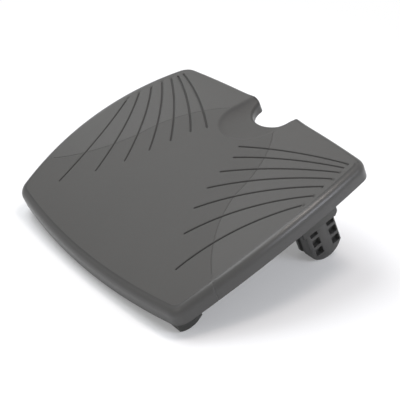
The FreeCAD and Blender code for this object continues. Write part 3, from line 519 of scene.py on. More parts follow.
def skin_mesh():
    """The plate's outer skin, from the foot of the skirt to the middle of the top, before its grooves."""
    rings = edge_rings()
    loop = rings[-1][:, :2]
    grooves, creases = groove_paths(), crease_paths()
    points = [tuple(point) for point in loop]
    edges = [(i, (i + 1) % len(loop)) for i in range(len(loop))]
    for paths, offsets in ((grooves, GROOVE_ROWS), (creases, CREASE_ROWS)):
        for path in paths:
            rows, loose = rows_beside(path, offsets)
            for row in rows:
                kept = row[within_loop(row, loop)]
                start = len(points)
                points += [tuple(point) for point in kept]
                edges += [(start + i, start + i + 1) for i in range(len(kept) - 1)]
            loose = np.array(loose)
            points += [tuple(point) for point in loose[within_loop(loose, loop)]]
    points += [tuple(point) for point in field_points(loop, grooves + creases)]
    found = geometry.delaunay_2d_cdt([Vector(point) for point in points], edges, [], 1, 1e-4, True)
    flat = np.array([tuple(point) for point in found[0]])
    triangles = np.array([tuple(face) for face in found[2]])
    triangles = triangles[within_loop(flat[triangles].mean(axis=1), loop)]
    own_rim = {}
    for index, origins in enumerate(found[3]):
        for origin in origins:
            if origin < len(loop):
                own_rim[origin] = index
    count = len(loop)
    foot = rings[0].copy()
    foot[:, 2] = crown(foot[:, 1]) - SKIRT_HEIGHT
    bands = [foot + (rings[0] - foot) * (step / SKIRT_STEPS) for step in range(SKIRT_STEPS)] + rings[:-1]
    vertices = [tuple(point) for band in bands for point in band]
    base = len(vertices)
    heights = top_height(flat[:, 0], flat[:, 1])
    rim_height = {own_rim[i]: rings[-1][i][2] for i in range(count)}
    for index, (x, y) in enumerate(flat):
        vertices.append((x, y, rim_height.get(index, heights[index])))
    faces = []
    for level in range(len(bands)):
        for i in range(count):
            j = (i + 1) % count
            low_i, low_j = level * count + i, level * count + j
            if level + 1 < len(bands):
                high_i, high_j = low_i + count, low_j + count
            else:
                high_i, high_j = base + own_rim[i], base + own_rim[j]
            faces.append((low_i, low_j, high_j, high_i))
    for a, b, c in triangles:
        pa, pb, pc = flat[a], flat[b], flat[c]
        left_turn = (pb[0] - pa[0]) * (pc[1] - pa[1]) - (pb[1] - pa[1]) * (pc[0] - pa[0]) > 0
        faces.append((base + a, base + b, base + c) if left_turn else (base + a, base + c, base + b))
    mesh = bpy.data.meshes.new("deck_skin")
    mesh.from_pydata([tuple(np.array(point) * MM) for point in vertices], [], faces)
    mesh.validate()
    return mesh


def underside(node_name):
    """The ribbed underside of the plate, taken from a merged copy of its CAD node, in the plate's frame."""
    work = bmesh.new()
    work.from_mesh(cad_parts[node_name].data)
    work.transform(PLATE_TO_ROW.inverted())
    bmesh.ops.remove_doubles(work, verts=work.verts, dist=CAD_MERGE_GAP)
    centres = np.array([tuple(face.calc_center_median()) for face in work.faces]) / MM
    normals = np.array([tuple(face.normal) for face in work.faces])
    x, y, z = centres.T
    from_edge = distance_to_paths(centres[:, :2], [closed(whole_outline()[0])])
    outer = np.minimum(crown(y) - quarter_drop(inside_outline(x, y), EDGE_RADIUS), scoop_height(x, y))
    on_foot = np.array([
        all(abs(v.co.z / MM - (crown(v.co.y / MM) - SKIRT_HEIGHT)) < ON_FOOT_GAP for v in face.verts)
        for face in work.faces])
    inner = (normals[:, 2] < LEAST_SLOPE) & (from_edge > CLEAR_OF_EDGE) & (outer - z > CLEAR_OF_TOP)
    inner &= ~on_foot & (z > crown(y) - SKIRT_HEIGHT - 2 * ON_FOOT_GAP)
    outside = [face for face, keep in zip(work.faces, inner) if not keep]
    bmesh.ops.delete(work, geom=outside, context="FACES")
    for parts, kind in ((work.edges, "EDGES"), (work.verts, "VERTS")):
        bmesh.ops.delete(work, geom=[part for part in parts if not part.link_faces], context=kind)
    open_edges = [edge for edge in work.edges if len(edge.link_faces) == 1]
    bmesh.ops.holes_fill(work, edges=open_edges, sides=LARGEST_HOLE)
    return work


def open_loops(work):
    """Closed loops of vertices along the open edges of a mesh."""
    left = dict.fromkeys(edge for edge in work.edges if len(edge.link_faces) == 1)
    loops = []
    while left:
        start, here = left.popitem()[0].verts
        loop = [start]
        while here is not start:
            loop.append(here)
            onward = [edge for edge in here.link_edges if edge in left]
            if not onward:
                break
            del left[onward[0]]
            here = onward[0].other_vert(here)
        loops.append(loop)
    return loops


def close_foot(work):
    """Joins the foot of the outer skin to the underside with the skirt's narrow bottom face."""
    loops = sorted(open_loops(work), key=len)[-2:]
    points, edges, owners = [], [], []
    for loop in loops:
        start = len(points)
        points += [Vector((vertex.co.x / MM, vertex.co.y / MM)) for vertex in loop]
        owners += loop
        edges += [(start + i, start + (i + 1) % len(loop)) for i in range(len(loop))]
    inner, outer = (np.array([tuple(vertex.co[:2]) for vertex in loop]) / MM for loop in loops)
    found = geometry.delaunay_2d_cdt(points, edges, [], 1, 1e-5, True)
    own = [owners[origins[0]] if origins else None for origins in found[3]]
    corners = np.array([[tuple(found[0][index]) for index in face] for face in found[2]])
    middles = corners.mean(axis=1)
    on_rim = within_loop(middles, outer) & ~within_loop(middles, inner)
    for face, keep in zip(found[2], on_rim):
        made = [own[index] for index in face]
        if keep and None not in made and len(set(made)) == 3:
            work.faces.new(made)


# Node trees

def fill(tree, made, inputs):
    """Links a node's inputs to sockets, or sets them to plain values."""
    for name, value in inputs.items():
        if isinstance(value, bpy.types.NodeSocket):
            tree.links.new(value, made.inputs[name])
        else:
            made.inputs[name].default_value = value


def node(tree, kind, inputs=None, **settings):
    """A new node with its settings made and its inputs filled."""
    made = tree.nodes.new(kind)
    for name, value in settings.items():
        setattr(made, name, value)
    fill(tree, made, inputs or {})
    return made


def math_node(tree, operation, first, second):
    return node(tree, "ShaderNodeMath", {0: first, 1: second}, operation=operation).outputs[0]


def times(tree, first, second):
    return math_node(tree, "MULTIPLY", first, second)


def new_tree(name, sockets):
    """A geometry tree with its named inputs, and the inputs' sockets and end node inside it."""
    tree = bpy.data.node_groups.new(name, "GeometryNodeTree")
    for way in ("INPUT", "OUTPUT"):
        tree.interface.new_socket("Geometry", in_out=way, socket_type="NodeSocketGeometry")
    for label, kind in (*sockets, ("Material", "Material")):
        tree.interface.new_socket(label, in_out="INPUT", socket_type="NodeSocket" + kind)
    return tree, node(tree, "NodeGroupInput").outputs, node(tree, "NodeGroupOutput")


def finish_tree(tree, geometry_socket, given, output):
    """Ends a tree in plain meshes with the given material."""
    whole = node(tree, "GeometryNodeRealizeInstances", {"Geometry": geometry_socket})
    coated = node(tree, "GeometryNodeSetMaterial",
                  {"Geometry": whole.outputs["Geometry"], "Material": given["Material"]})
    fill(tree, output, {"Geometry": coated.outputs["Geometry"]})
    return tree


def cut_out(tree, mesh, cutters, crossing=False):
    """A mesh less its cutters, which may cross each other."""
    cut = node(tree, "GeometryNodeMeshBoolean", {"Mesh 1": mesh, "Mesh 2": cutters, "Self Intersection": crossing},
               operation="DIFFERENCE", solver="EXACT")
    return cut.outputs["Mesh"]


def path_carver():
    """Presses grooves along given paths into a skin, seen square to the plate."""
    tree, given, output = new_tree("Path carver", (
        ("Groove Paths", "Object"), ("Groove Width", "Float"), ("Groove Depth", "Float"),
        ("Style Line Paths", "Object"), ("Style Line Width", "Float"), ("Style Line Depth", "Float")))
    apart = node(tree, "ShaderNodeSeparateXYZ", {0: node(tree, "GeometryNodeInputPosition").outputs[0]})
    flat = node(tree, "ShaderNodeCombineXYZ", {"X": apart.outputs["X"], "Y": apart.outputs["Y"]})
    depths = []
    for line in ("Groove", "Style Line"):
        source = node(tree, "GeometryNodeObjectInfo", {"Object": given[line + " Paths"]},
                      transform_space="ORIGINAL")
        near = node(tree, "GeometryNodeProximity",
                    {"Geometry": source.outputs["Geometry"], "Sample Position": flat.outputs[0]},
                    target_element="EDGES")
        width = given[line + " Width"]
        profile = node(tree, "ShaderNodeMapRange", {
            "Value": near.outputs["Distance"], "From Min": times(tree, width, GROOVE_FLOOR),
            "From Max": times(tree, width, GROOVE_REACH), "To Min": 1.0, "To Max": 0.0},
            interpolation_type="SMOOTHSTEP")
        depths.append(times(tree, profile.outputs["Result"], given[line + " Depth"]))
    total = math_node(tree, "MAXIMUM", *depths)
    inward = node(tree, "ShaderNodeVectorMath", {
        0: node(tree, "GeometryNodeInputNormal").outputs[0], "Scale": times(tree, total, -1.0)},
        operation="SCALE")
    # The stored groove share lets the plate's material paint shade into the grooves.
    marked = node(tree, "GeometryNodeStoreNamedAttribute", {
        "Geometry": given["Geometry"], "Name": "groove",
        "Value": math_node(tree, "DIVIDE", total, given["Groove Depth"])}, data_type="FLOAT", domain="POINT")
    moved = node(tree, "GeometryNodeSetPosition",
                 {"Geometry": marked.outputs["Geometry"], "Offset": inward.outputs[0]})
    return finish_tree(tree, moved.outputs["Geometry"], given, output)


def pocket_ladder():
    """Cuts a ladder of pockets into both faces of a leg, and a keyway down its front edge."""
    tree, given, output = new_tree("Pocket ladder", (
        ("First Pocket", "Vector"), ("Column Spacing", "Float"), ("Row Pitch", "Float"), ("Rows", "Int"),
        ("Face Spacing", "Float"), ("Pocket Size", "Vector"), ("Keyway Centre", "Vector"),
        ("Keyway Size", "Vector")))

    def repeated(shape, count, axis, spacing, start=(0.0, 0.0, 0.0)):
        """Copies of a shape in a line along one axis."""
        offset = node(tree, "ShaderNodeCombineXYZ", {axis: spacing})
        line = node(tree, "GeometryNodeMeshLine",
                    {"Count": count, "Start Location": start, "Offset": offset.outputs[0]})
        copies = node(tree, "GeometryNodeInstanceOnPoints", {"Points": line.outputs["Mesh"], "Instance": shape})
        whole = node(tree, "GeometryNodeRealizeInstances", {"Geometry": copies.outputs["Instances"]})
        return whole.outputs["Geometry"]

    block = node(tree, "GeometryNodeMeshCube", {"Size": given["Pocket Size"]})
    column = repeated(block.outputs["Mesh"], given["Rows"], "Z", times(tree, given["Row Pitch"], -1.0))
    ladder = repeated(column, 2, "Y", given["Column Spacing"])
    pockets = repeated(ladder, 2, "X", given["Face Spacing"], given["First Pocket"])
    key = node(tree, "GeometryNodeMeshCube", {"Size": given["Keyway Size"]})
    keyway = node(tree, "GeometryNodeTransform",
                  {"Geometry": key.outputs["Mesh"], "Translation": given["Keyway Centre"]})
    cutters = node(tree, "GeometryNodeJoinGeometry", {0: pockets})
    fill(tree, cutters, {0: keyway.outputs["Geometry"]})
    return finish_tree(tree, cut_out(tree, given["Geometry"], cutters.outputs[0]), given, output)


def screw_setter():
    """Cuts a cross recess into a screw blank and sets one screw at each given place, each turned its own way."""
    tree, given, output = new_tree("Screw setter", (
        ("Blank", "Object"), ("Recess Size", "Vector"), ("Recess Centre", "Vector"), ("Turn", "Rotation")))
    blank = node(tree, "GeometryNodeObjectInfo", {"Object": given["Blank"]}, transform_space="ORIGINAL")
    slot = node(tree, "GeometryNodeMeshCube", {"Size": given["Recess Size"]})
    cross = node(tree, "GeometryNodeJoinGeometry")
    for quarter in (0.0, math.pi / 2):
        arm = node(tree, "GeometryNodeTransform", {
            "Geometry": slot.outputs["Mesh"], "Translation": given["Recess Centre"],
            "Rotation": (0.0, 0.0, quarter)})
        fill(tree, cross, {0: arm.outputs["Geometry"]})
    screw = cut_out(tree, blank.outputs["Geometry"], cross.outputs[0], crossing=True)
    spin = node(tree, "FunctionNodeRandomValue", {"Max": 3.0, "Seed": 7}, data_type="FLOAT")
    about = node(tree, "ShaderNodeCombineXYZ", {"Z": spin.outputs["Value"]})
    own = node(tree, "FunctionNodeEulerToRotation", {0: about.outputs[0]})
    turn = node(tree, "FunctionNodeRotateRotation",
                {"Rotation": given["Turn"], "Rotate By": own.outputs[0]}, rotation_space="LOCAL")
    screws = node(tree, "GeometryNodeInstanceOnPoints", {
        "Points": given["Geometry"], "Instance": screw, "Rotation": turn.outputs[0]})
    return finish_tree(tree, screws.outputs["Instances"], given, output)


def set_inputs(modifier, **values):
    """Sets a geometry nodes modifier's inputs by the names that its tree gives them."""
    named = {item.name: item.identifier for item in modifier.node_group.interface.items_tree
             if item.item_type == "SOCKET" and item.in_out == "INPUT"}
    for name, value in values.items():
        modifier[named[name.replace("_", " ")]] = value


# Meshes and pieces

def evaluated_mesh(carrier, name):
    """A plain mesh of what the object's modifiers make of it."""
    graph = bpy.context.evaluated_depsgraph_get()
    mesh = bpy.data.meshes.new_from_object(carrier.evaluated_get(graph))
    mesh.name = name
    return mesh


def mesh_from(work, name):
    """A new mesh from a bmesh, which is freed."""
    mesh = bpy.data.meshes.new(name)
    work.to_mesh(mesh)
    work.free()
    return mesh


def smoothed(mesh, sharp_angle):
    """Shades a mesh smooth, apart from edges past an angle in degrees."""
    for face in mesh.polygons:
        face.use_smooth = True
    mesh.set_sharp_from_angle(angle=math.radians(sharp_angle))
    return mesh


def link_new(name, mesh):
    made = bpy.data.objects.new(name, mesh)
    bpy.context.scene.collection.objects.link(made)
    return made


def hand_over(piece, node_name, body):
    """Lets a piece ride its body in place of its CAD node."""
    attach(piece, body)
    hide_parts(node_name)


def dress(name, coat):
    """Gives a CAD node a better material."""
    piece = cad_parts[name]
    piece.data.materials.clear()
    piece.data.materials.append(coat)


def wire_object(name, paths):
    """Paths as loose edges, flat on the plate's plane."""
    vertices, edges = [], []
    for path in paths:
        start = len(vertices)
        vertices += [(x * MM, y * MM, 0.0) for x, y in path]
        edges += [(start + i, start + i + 1) for i in range(len(path) - 1)]
    mesh = bpy.data.meshes.new(name)
    mesh.from_pydata(vertices, edges, [])
    return link_new(name, mesh)


# Legs, refined mouldings and screws

def leg_body():
    """A leg's side view drawn out to its thickness, before its pockets are cut."""
    centre_y = (LEG_FRONT + LEG_REAR) / 2
    centre_z = LEG_TIP_LOWEST + LEG_TIP_RADIUS
    half = (LEG_REAR - LEG_FRONT) / 2
    corner = -math.sqrt(LEG_TIP_RADIUS ** 2 - half ** 2)
    angles = np.linspace(math.atan2(corner, -half), math.atan2(corner, half), LEG_TIP_POINTS)
    tip = [(centre_y + LEG_TIP_RADIUS * math.cos(a), centre_z + LEG_TIP_RADIUS * math.sin(a)) for a in angles]
    under_flange = LEG_TOP - LEG_FLANGE_HEIGHT
    outline = tip + [
        (LEG_REAR, under_flange), (LEG_REAR + LEG_FLANGE, under_flange), (LEG_REAR + LEG_FLANGE, LEG_TOP),
        (LEG_FRONT - LEG_FLANGE, LEG_TOP), (LEG_FRONT - LEG_FLANGE, under_flange), (LEG_FRONT, under_flange)]
    work = bmesh.new()
    inner, outer = ([work.verts.new((x * MM, y * MM, z * MM)) for y, z in outline] for x in (LEG_INNER, LEG_OUTER))
    work.faces.new(inner[::-1])
    work.faces.new(outer)
    for i in range(len(outline)):
        j = (i + 1) % len(outline)
        work.faces.new((inner[i], inner[j], outer[j], outer[i]))
    bmesh.ops.recalc_face_normals(work, faces=work.faces)
    return mesh_from(work, "leg_body")


def softened(mesh, name, width, coat, to_row=True, flatten=True):
    """A mesh with its edges rounded a little, as a moulding's are."""
    work = bmesh.new()
    work.from_mesh(mesh)
    bmesh.ops.remove_doubles(work, verts=work.verts, dist=MERGE_GAP)
    if flatten:
        bmesh.ops.dissolve_limit(work, angle_limit=FLAT_ANGLE, verts=work.verts, edges=work.edges)
    whole = mesh_from(work, name)
    whole.materials.clear()
    whole.materials.append(coat)
    carrier = link_new(name, whole)
    bevel = carrier.modifiers.new("rounding", "BEVEL")
    bevel.width = width * MM
    bevel.segments = 2
    bevel.limit_method = "ANGLE"
    bevel.angle_limit = ROUNDED_ANGLE
    bevel.use_clamp_overlap = False
    bevel.miter_outer = "MITER_SHARP"
    bevel.harden_normals = False
    made = evaluated_mesh(carrier, name)
    bpy.data.objects.remove(carrier)
    if to_row:
        made.transform(PLATE_TO_ROW)
    return link_new(name, smoothed(made, 40))


def mirrored(mesh):
    mesh.transform(Matrix.Scale(-1.0, 4, (1.0, 0.0, 0.0)))
    mesh.flip_normals()
    return mesh


def refine(node_name, width, coat, body="deck"):
    """A moulding that keeps its CAD node's shape, with its edges rounded."""
    piece = softened(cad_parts[node_name].data, node_name + "_moulding", width, coat, to_row=False)
    hand_over(piece, node_name, body)


def screw_blank(name, size):
    """A pan-head screw, head down: a lathed profile whose shank is a row of shallow rings for a thread."""
    head_radius, head_height, shank_radius, length = size
    core = shank_radius * 0.8
    profile = [(0.0, -head_height), (head_radius * 0.62, -head_height), (head_radius * 0.88, -head_height * 0.8),
               (head_radius, -head_height * 0.42), (head_radius, 0.0), (shank_radius, 0.0)]
    for turn in range(int((length - THREAD_START - SCREW_POINT) / THREAD_PITCH)):
        z = THREAD_START + turn * THREAD_PITCH
        profile += [(core, z), (shank_radius, z + THREAD_PITCH * 0.5)]
    profile += [(core, length - SCREW_POINT), (shank_radius * 0.25, length - 0.05), (0.0, length)]
    work = bmesh.new()
    rings = []
    for radius, z in profile:
        angles = [2 * math.pi * k / SCREW_SIDES for k in range(SCREW_SIDES)] if radius else [0.0]
        rings.append([work.verts.new((radius * math.cos(a) * MM, radius * math.sin(a) * MM, z * MM))
                      for a in angles])
    for low, high in zip(rings, rings[1:]):
        for k in range(SCREW_SIDES):
            j = (k + 1) % SCREW_SIDES
            corners = [low[k % len(low)], low[j % len(low)], high[j % len(high)], high[k % len(high)]]
            work.faces.new(list(dict.fromkeys(corners)))
    bmesh.ops.recalc_face_normals(work, faces=work.faces)
    return mesh_from(work, name)


def set_screws(name, size, places, turn, coat, tree):
    """Screws of one size at the given places in the plate's frame."""
    points = bpy.data.meshes.new(name)
    points.from_pydata([tuple(value * MM for value in place) for place in places], [], [])
    carrier = link_new(name, points)
    blank = link_new(name + "_blank", screw_blank(name + "_blank", size))
    head_radius, head_height = size[:2]
    maker = carrier.modifiers.new("screws", "NODES")
    maker.node_group = tree
    set_inputs(maker, Blank=blank, Turn=turn, Material=coat,
               Recess_Size=(head_radius * 1.15 * MM, head_radius * 0.26 * MM, head_height * 1.3 * MM),
               Recess_Centre=(0.0, 0.0, -head_height * MM))
    made = evaluated_mesh(carrier, name)
    for helper in (carrier, blank):
        bpy.data.objects.remove(helper)
    made.transform(PLATE_TO_ROW)
    return link_new(name, smoothed(made, 35))


# Materials

def material(name):
    """A new material with its tree, its shader and the place on the piece."""
    made = bpy.data.materials.new(name)
    made.use_nodes = True
    tree = made.node_tree
    tree.nodes.clear()
    shader = node(tree, "ShaderNodeBsdfPrincipled")
    node(tree, "ShaderNodeOutputMaterial", {"Surface": shader.outputs[0]})
    return made, tree, shader, node(tree, "ShaderNodeTexCoord").outputs["Object"]


def noise(tree, place, scale, detail=2.0, roughness=0.5):
    return node(tree, "ShaderNodeTexNoise", {
        "Vector": place, "Scale": scale, "Detail": detail, "Roughness": roughness}).outputs["Fac"]


def ramp(tree, value, low, high, out_low=0.0, out_high=1.0):
    return node(tree, "ShaderNodeMapRange", {
        "Value": value, "From Min": low, "From Max": high, "To Min": out_low, "To Max": out_high},
        clamp=True).outputs["Result"]


def shade(colour, factor):
    return (*(channel * factor for channel in colour), 1.0)


def blend(tree, factor, first, second, kind="RGBA"):
    """A colour or number between two, by a factor from 0 to 1."""
    return node(tree, "ShaderNodeMix", {"Factor": factor, "A": first, "B": second},
                data_type=kind).outputs["Result"]


def bump(tree, height, distance, strength):
    return node(tree, "ShaderNodeBump", {
        "Height": height, "Distance": distance, "Strength": strength}).outputs["Normal"]


def deck_plastic(look):
    """Dark grey moulding: grained on top, smoother on the wings, smooth round the edge and skirt; lighter on the
    wings as painted sheen, and darker round the edge, the skirt and in the grooves as painted shade.
    """
    made, tree, shader, place = material("deck_moulding")
    wing, groove, edge_shade_and_finish = (node(tree, "ShaderNodeAttribute", attribute_name=name).outputs["Fac"]
                            for name in ("wing", "groove", "edge"))
    # edge darkens the whole rounded edge and skirt as painted shade, darkest in a band where the edge begins, and
    # smooths them; turned eases that painted shade further down and raises the specular level.
    turned = ramp(tree, edge_shade_and_finish, 0.5, 0.85)
    edge = ramp(tree, edge_shade_and_finish, 0.48, 0.52)
    colour = tuple(look.colour)
    cloudy = noise(tree, place, 9.0, 3.0)
    grain = noise(tree, place, 1.0 / look.grain_size, 2.0, 0.6)
    coarse = noise(tree, place, 0.28 / look.grain_size, 1.0, 0.4)
    mixed = math_node(tree, "ADD", times(tree, grain, 0.7), times(tree, coarse, 0.3))
    tone = ramp(tree, math_node(tree, "ADD", times(tree, cloudy, 0.5), times(tree, mixed, 0.5)), 0.3, 0.7)
    grained = blend(tree, tone, shade(colour, 0.93), shade(colour, 1.07))
    # Painted light in the base colour: the wings lighter as painted sheen, the rounded edge and skirt darker as
    # painted shade, and the grooves darker as painted shade.
    for factor, dark, light in ((wing, 0.97, 1.10), (edge, 0.42, 0.50), (turned, 0.66, 0.74), (groove, 0.5, 0.56)):
        grained = blend(tree, factor, grained, blend(tree, tone, shade(colour, dark), shade(colour, light)))
    top_rough = math_node(tree, "ADD", look.roughness, times(tree, cloudy, 0.06))
    wing_rough = math_node(tree, "SUBTRACT", top_rough, times(tree, wing, 0.07))
    edge_rough = math_node(tree, "ADD", look.edge_roughness, times(tree, cloudy, 0.05))
    calm = math_node(tree, "SUBTRACT", 1.0, times(tree, edge, 0.75))
    fill(tree, shader, {
        "Base Color": grained, "Roughness": blend(tree, edge, wing_rough, edge_rough, "FLOAT"),
        "Specular IOR Level": ramp(tree, turned, 0.0, 1.0, 0.35, 0.55),
        "Normal": bump(tree, times(tree, mixed, calm), 0.00012, 0.6)})
    return made


def smooth_plastic(name, colour, roughness):
    """Plain moulded plastic with flow marks, a faint grain and rubbed patches."""
    made, tree, shader, place = material(name)
    cloudy = noise(tree, place, 22.0, 3.0)
    fill(tree, shader, {
        "Base Color": blend(tree, ramp(tree, cloudy, 0.3, 0.7), shade(colour, 0.9), shade(colour, 1.08)),
        "Roughness": ramp(tree, cloudy, 0.25, 0.75, roughness - 0.05, roughness + 0.07),
        "Normal": bump(tree, noise(tree, place, 1400.0), 0.00005, 0.5)})
    return made


def tread_rubber(name, colour):
    """Black rubber with dust rubbed into it and open pores."""
    made, tree, shader, place = material(name)
    dust = noise(tree, place, 60.0, 4.0)
    pores = noise(tree, place, 900.0)
    fill(tree, shader, {
        "Base Color": blend(tree, ramp(tree, dust, 0.45, 0.8), shade(colour, 1.0), shade(colour, 2.0)),
        "Roughness": ramp(tree, pores, 0.3, 0.7, 0.75, 0.95),
        "Normal": bump(tree, pores, 0.0001, 0.7)})
    return made


def drawn_steel(name, colour, roughness):
    """Steel with faint drawing marks and dull spots."""
    made, tree, shader, place = material(name)
    stretch = node(tree, "ShaderNodeMapping", {"Vector": place, "Scale": (2600.0, 2600.0, 120.0)})
    marks = noise(tree, stretch.outputs["Vector"], 1.0)
    spots = noise(tree, place, 240.0, 3.0)
    fill(tree, shader, {
        "Base Color": blend(tree, ramp(tree, spots, 0.35, 0.7), shade(colour, 0.82), shade(colour, 1.0)),
        "Metallic": 1.0,
        "Roughness": ramp(tree, marks, 0.3, 0.7, roughness - 0.06, roughness + 0.1),
        "Normal": bump(tree, marks, 0.00002, 0.4)})
    return made


# Settings

class DeckLook(bpy.types.PropertyGroup):
    colour: FloatVectorProperty(
        name="Colour", description="Colour of the plate's plastic", subtype="COLOR", size=3,
        default=(0.0715, 0.0702, 0.0676))
    roughness: FloatProperty(
        name="Roughness", description="Roughness of the grained top", subtype="FACTOR", default=0.68)
    edge_roughness: FloatProperty(
        name="Edge Roughness", description="Roughness of the rounded edge and the skirt", subtype="FACTOR",
        default=0.32)
    grain_size: FloatProperty(
        name="Grain Size", description="Size of one grain of the moulded texture", unit="LENGTH", default=0.0011)
    groove_width: FloatProperty(
        name="Groove Width", description="Width of a grip groove at the surface", unit="LENGTH", default=0.0031)
    groove_depth: FloatProperty(
        name="Groove Depth", description="Depth of a grip groove", unit="LENGTH", default=0.0018)
    line_width: FloatProperty(
        name="Style Line Width", description="Width of the line between field and wing", unit="LENGTH",
        default=0.0018)
    line_depth: FloatProperty(
        name="Style Line Depth", description="Depth of the line between field and wing", unit="LENGTH",
        default=0.0005)


class FootLook(bpy.types.PropertyGroup):
    # The legs are the plate's plastic, set a little darker as painted shade under the plate.
    colour: FloatVectorProperty(
        name="Colour", description="Colour of the legs", subtype="COLOR", size=3, default=(0.062, 0.061, 0.058))
    # The bar, caps, sockets and covers are the same plastic, made much darker as painted shade under the plate.
    painted_shade_bar_colour: FloatVectorProperty(
        name="Bar Colour", description="Colour of the bar, its caps and the sockets", subtype="COLOR", size=3,
        default=(0.037, 0.0368, 0.0338))
    roughness: FloatProperty(
        name="Roughness", description="Roughness of the smooth mouldings", subtype="FACTOR", default=0.42)
    edge_rounding: FloatProperty(
        name="Edge Rounding", description="Rounding of the mouldings' edges", unit="LENGTH", default=0.00045)
    rubber_colour: FloatVectorProperty(
        name="Rubber Colour", description="Colour of the treads", subtype="COLOR", size=3,
        default=(0.022, 0.022, 0.023))


class StageLook(bpy.types.PropertyGroup):
    key_power: FloatProperty(
        name="Key Power", description="Power of the large lamp on the left", unit="POWER", default=34.0)
    high_power: FloatProperty(
        name="High Power", description="Power of the small warm lamp high on the right", unit="POWER",
        default=14.5)
    side_power: FloatProperty(
        name="Side Power", description="Power of the small lamp on the far left", unit="POWER", default=5.5)
    window_power: FloatProperty(
        name="Window Power", description="Power of the cool strip lamp on the right", unit="POWER", default=8.5)
    front_power: FloatProperty(
        name="Front Power", description="Power of the warm lamp in front", unit="POWER", default=4.0)
    sky: FloatProperty(
        name="Sky", description="Strength of the even light from all round", subtype="FACTOR", default=0.36)
    shadow_reach: FloatProperty(
        name="Shadow Reach", description="Distance to which the floor keeps its full shadow", unit="LENGTH",
        default=0.45)
    floor_glow: FloatProperty(
        name="Floor Glow", description="Share of the floor's white that doesn't depend on light",
        subtype="FACTOR", default=0.22, min=0.0, max=1.0)


# Operators

class FOOTREST_OT_deck(bpy.types.Operator):
    """Builds the arched plate with its grooves, style lines, scoop, notch and ribbed underside"""
    bl_idname = "footrest.deck"
    bl_label = "Deck"

    def execute(self, context):
        look = context.scene.footrest_deck
        coat = deck_plastic(look)
        skin = link_new("deck_skin", skin_mesh())
        grooves = wire_object("groove_paths", groove_paths(CARVING_STEP))
        creases = wire_object("style_line_paths", crease_paths(CARVING_STEP))
        carve = skin.modifiers.new("carve", "NODES")
        carve.node_group = path_carver()
        set_inputs(carve, Groove_Paths=grooves, Groove_Width=look.groove_width, Groove_Depth=look.groove_depth,
                   Style_Line_Paths=creases, Style_Line_Width=look.line_width, Style_Line_Depth=look.line_depth,
                   Material=coat)
        carved = evaluated_mesh(skin, "deck")
        for helper in (skin, grooves, creases):
            bpy.data.objects.remove(helper)
        work = underside("deck_tray")
        work.from_mesh(carved)
        close_foot(work)
        bmesh.ops.remove_doubles(work, verts=work.verts, dist=MERGE_GAP)
        bmesh.ops.recalc_face_normals(work, faces=work.faces)
        for face in work.faces:
            face.smooth = True
            face.material_index = 0
        work.to_mesh(carved)
        work.free()
        mark_regions(carved)
        carved.transform(PLATE_TO_ROW)
        carved.materials.clear()
        carved.materials.append(coat)
        deck = link_new("deck", carved)
        carved.set_sharp_from_angle(angle=math.radians(32))
        hand_over(deck, "deck_tray", "deck")
        return {"FINISHED"}


def mark_regions(mesh):
    """Writes how far each point belongs to the rounded edge and to the side wings: shares that steer the smoother
    finish there, the painted shade of the edge and skirt and the painted sheen of the wings.
    """
    places = np.zeros(len(mesh.vertices) * 3, np.float32)
    mesh.vertices.foreach_get("co", places)
    x, y, z = (places.reshape(-1, 3) / MM).astype(float).T
    below = crown(y) - z
    by_notch = near_notch(x, y)
    far_in = -EDGE_FADE
    from_rim = np.where(by_notch > 0.5, NOTCH_RADIUS + NOTCH_EDGE_RADIUS - np.hypot(x, y - REAR_EDGE), far_in)
    from_rear = REAR_RADIUS - np.hypot(x - REAR_CENTRE[0], y - REAR_CENTRE[1])
    from_side = SIDE_RADIUS - np.hypot(np.abs(x) - SIDE_CENTRE[0], y - SIDE_CENTRE[1])
    at_rear = (y > MIDDLE) & (from_rear < from_side)
    band = np.where(at_rear, REAR_RIM_RADIUS, EDGE_RADIUS)
    band = band + (rim_radius(x) - band) * by_notch
    inward = np.maximum(band - inside_outline(x, y), from_rim)
    edge = np.clip(inward / EDGE_FADE + 0.5, 0.0, 1.0)
    edge = np.where(below > SKIRT_BELOW, 1.0, edge)
    side = np.concatenate((arc_path(*CREASE_REAR, REAR_STEP), arc_path(*CREASE_FRONT, REAR_STEP)[1:]))
    order = np.argsort(side[:, 1])
    boundary = np.interp(y, side[order, 1], side[order, 0])
    wing = np.clip((np.abs(x) - boundary) / WING_FADE, 0.0, 1.0)
    for name, values in (("edge", edge), ("wing", wing)):
        layer = mesh.attributes.new(name, "FLOAT", "POINT")
        layer.data.foreach_set("value", values.astype(np.float32))


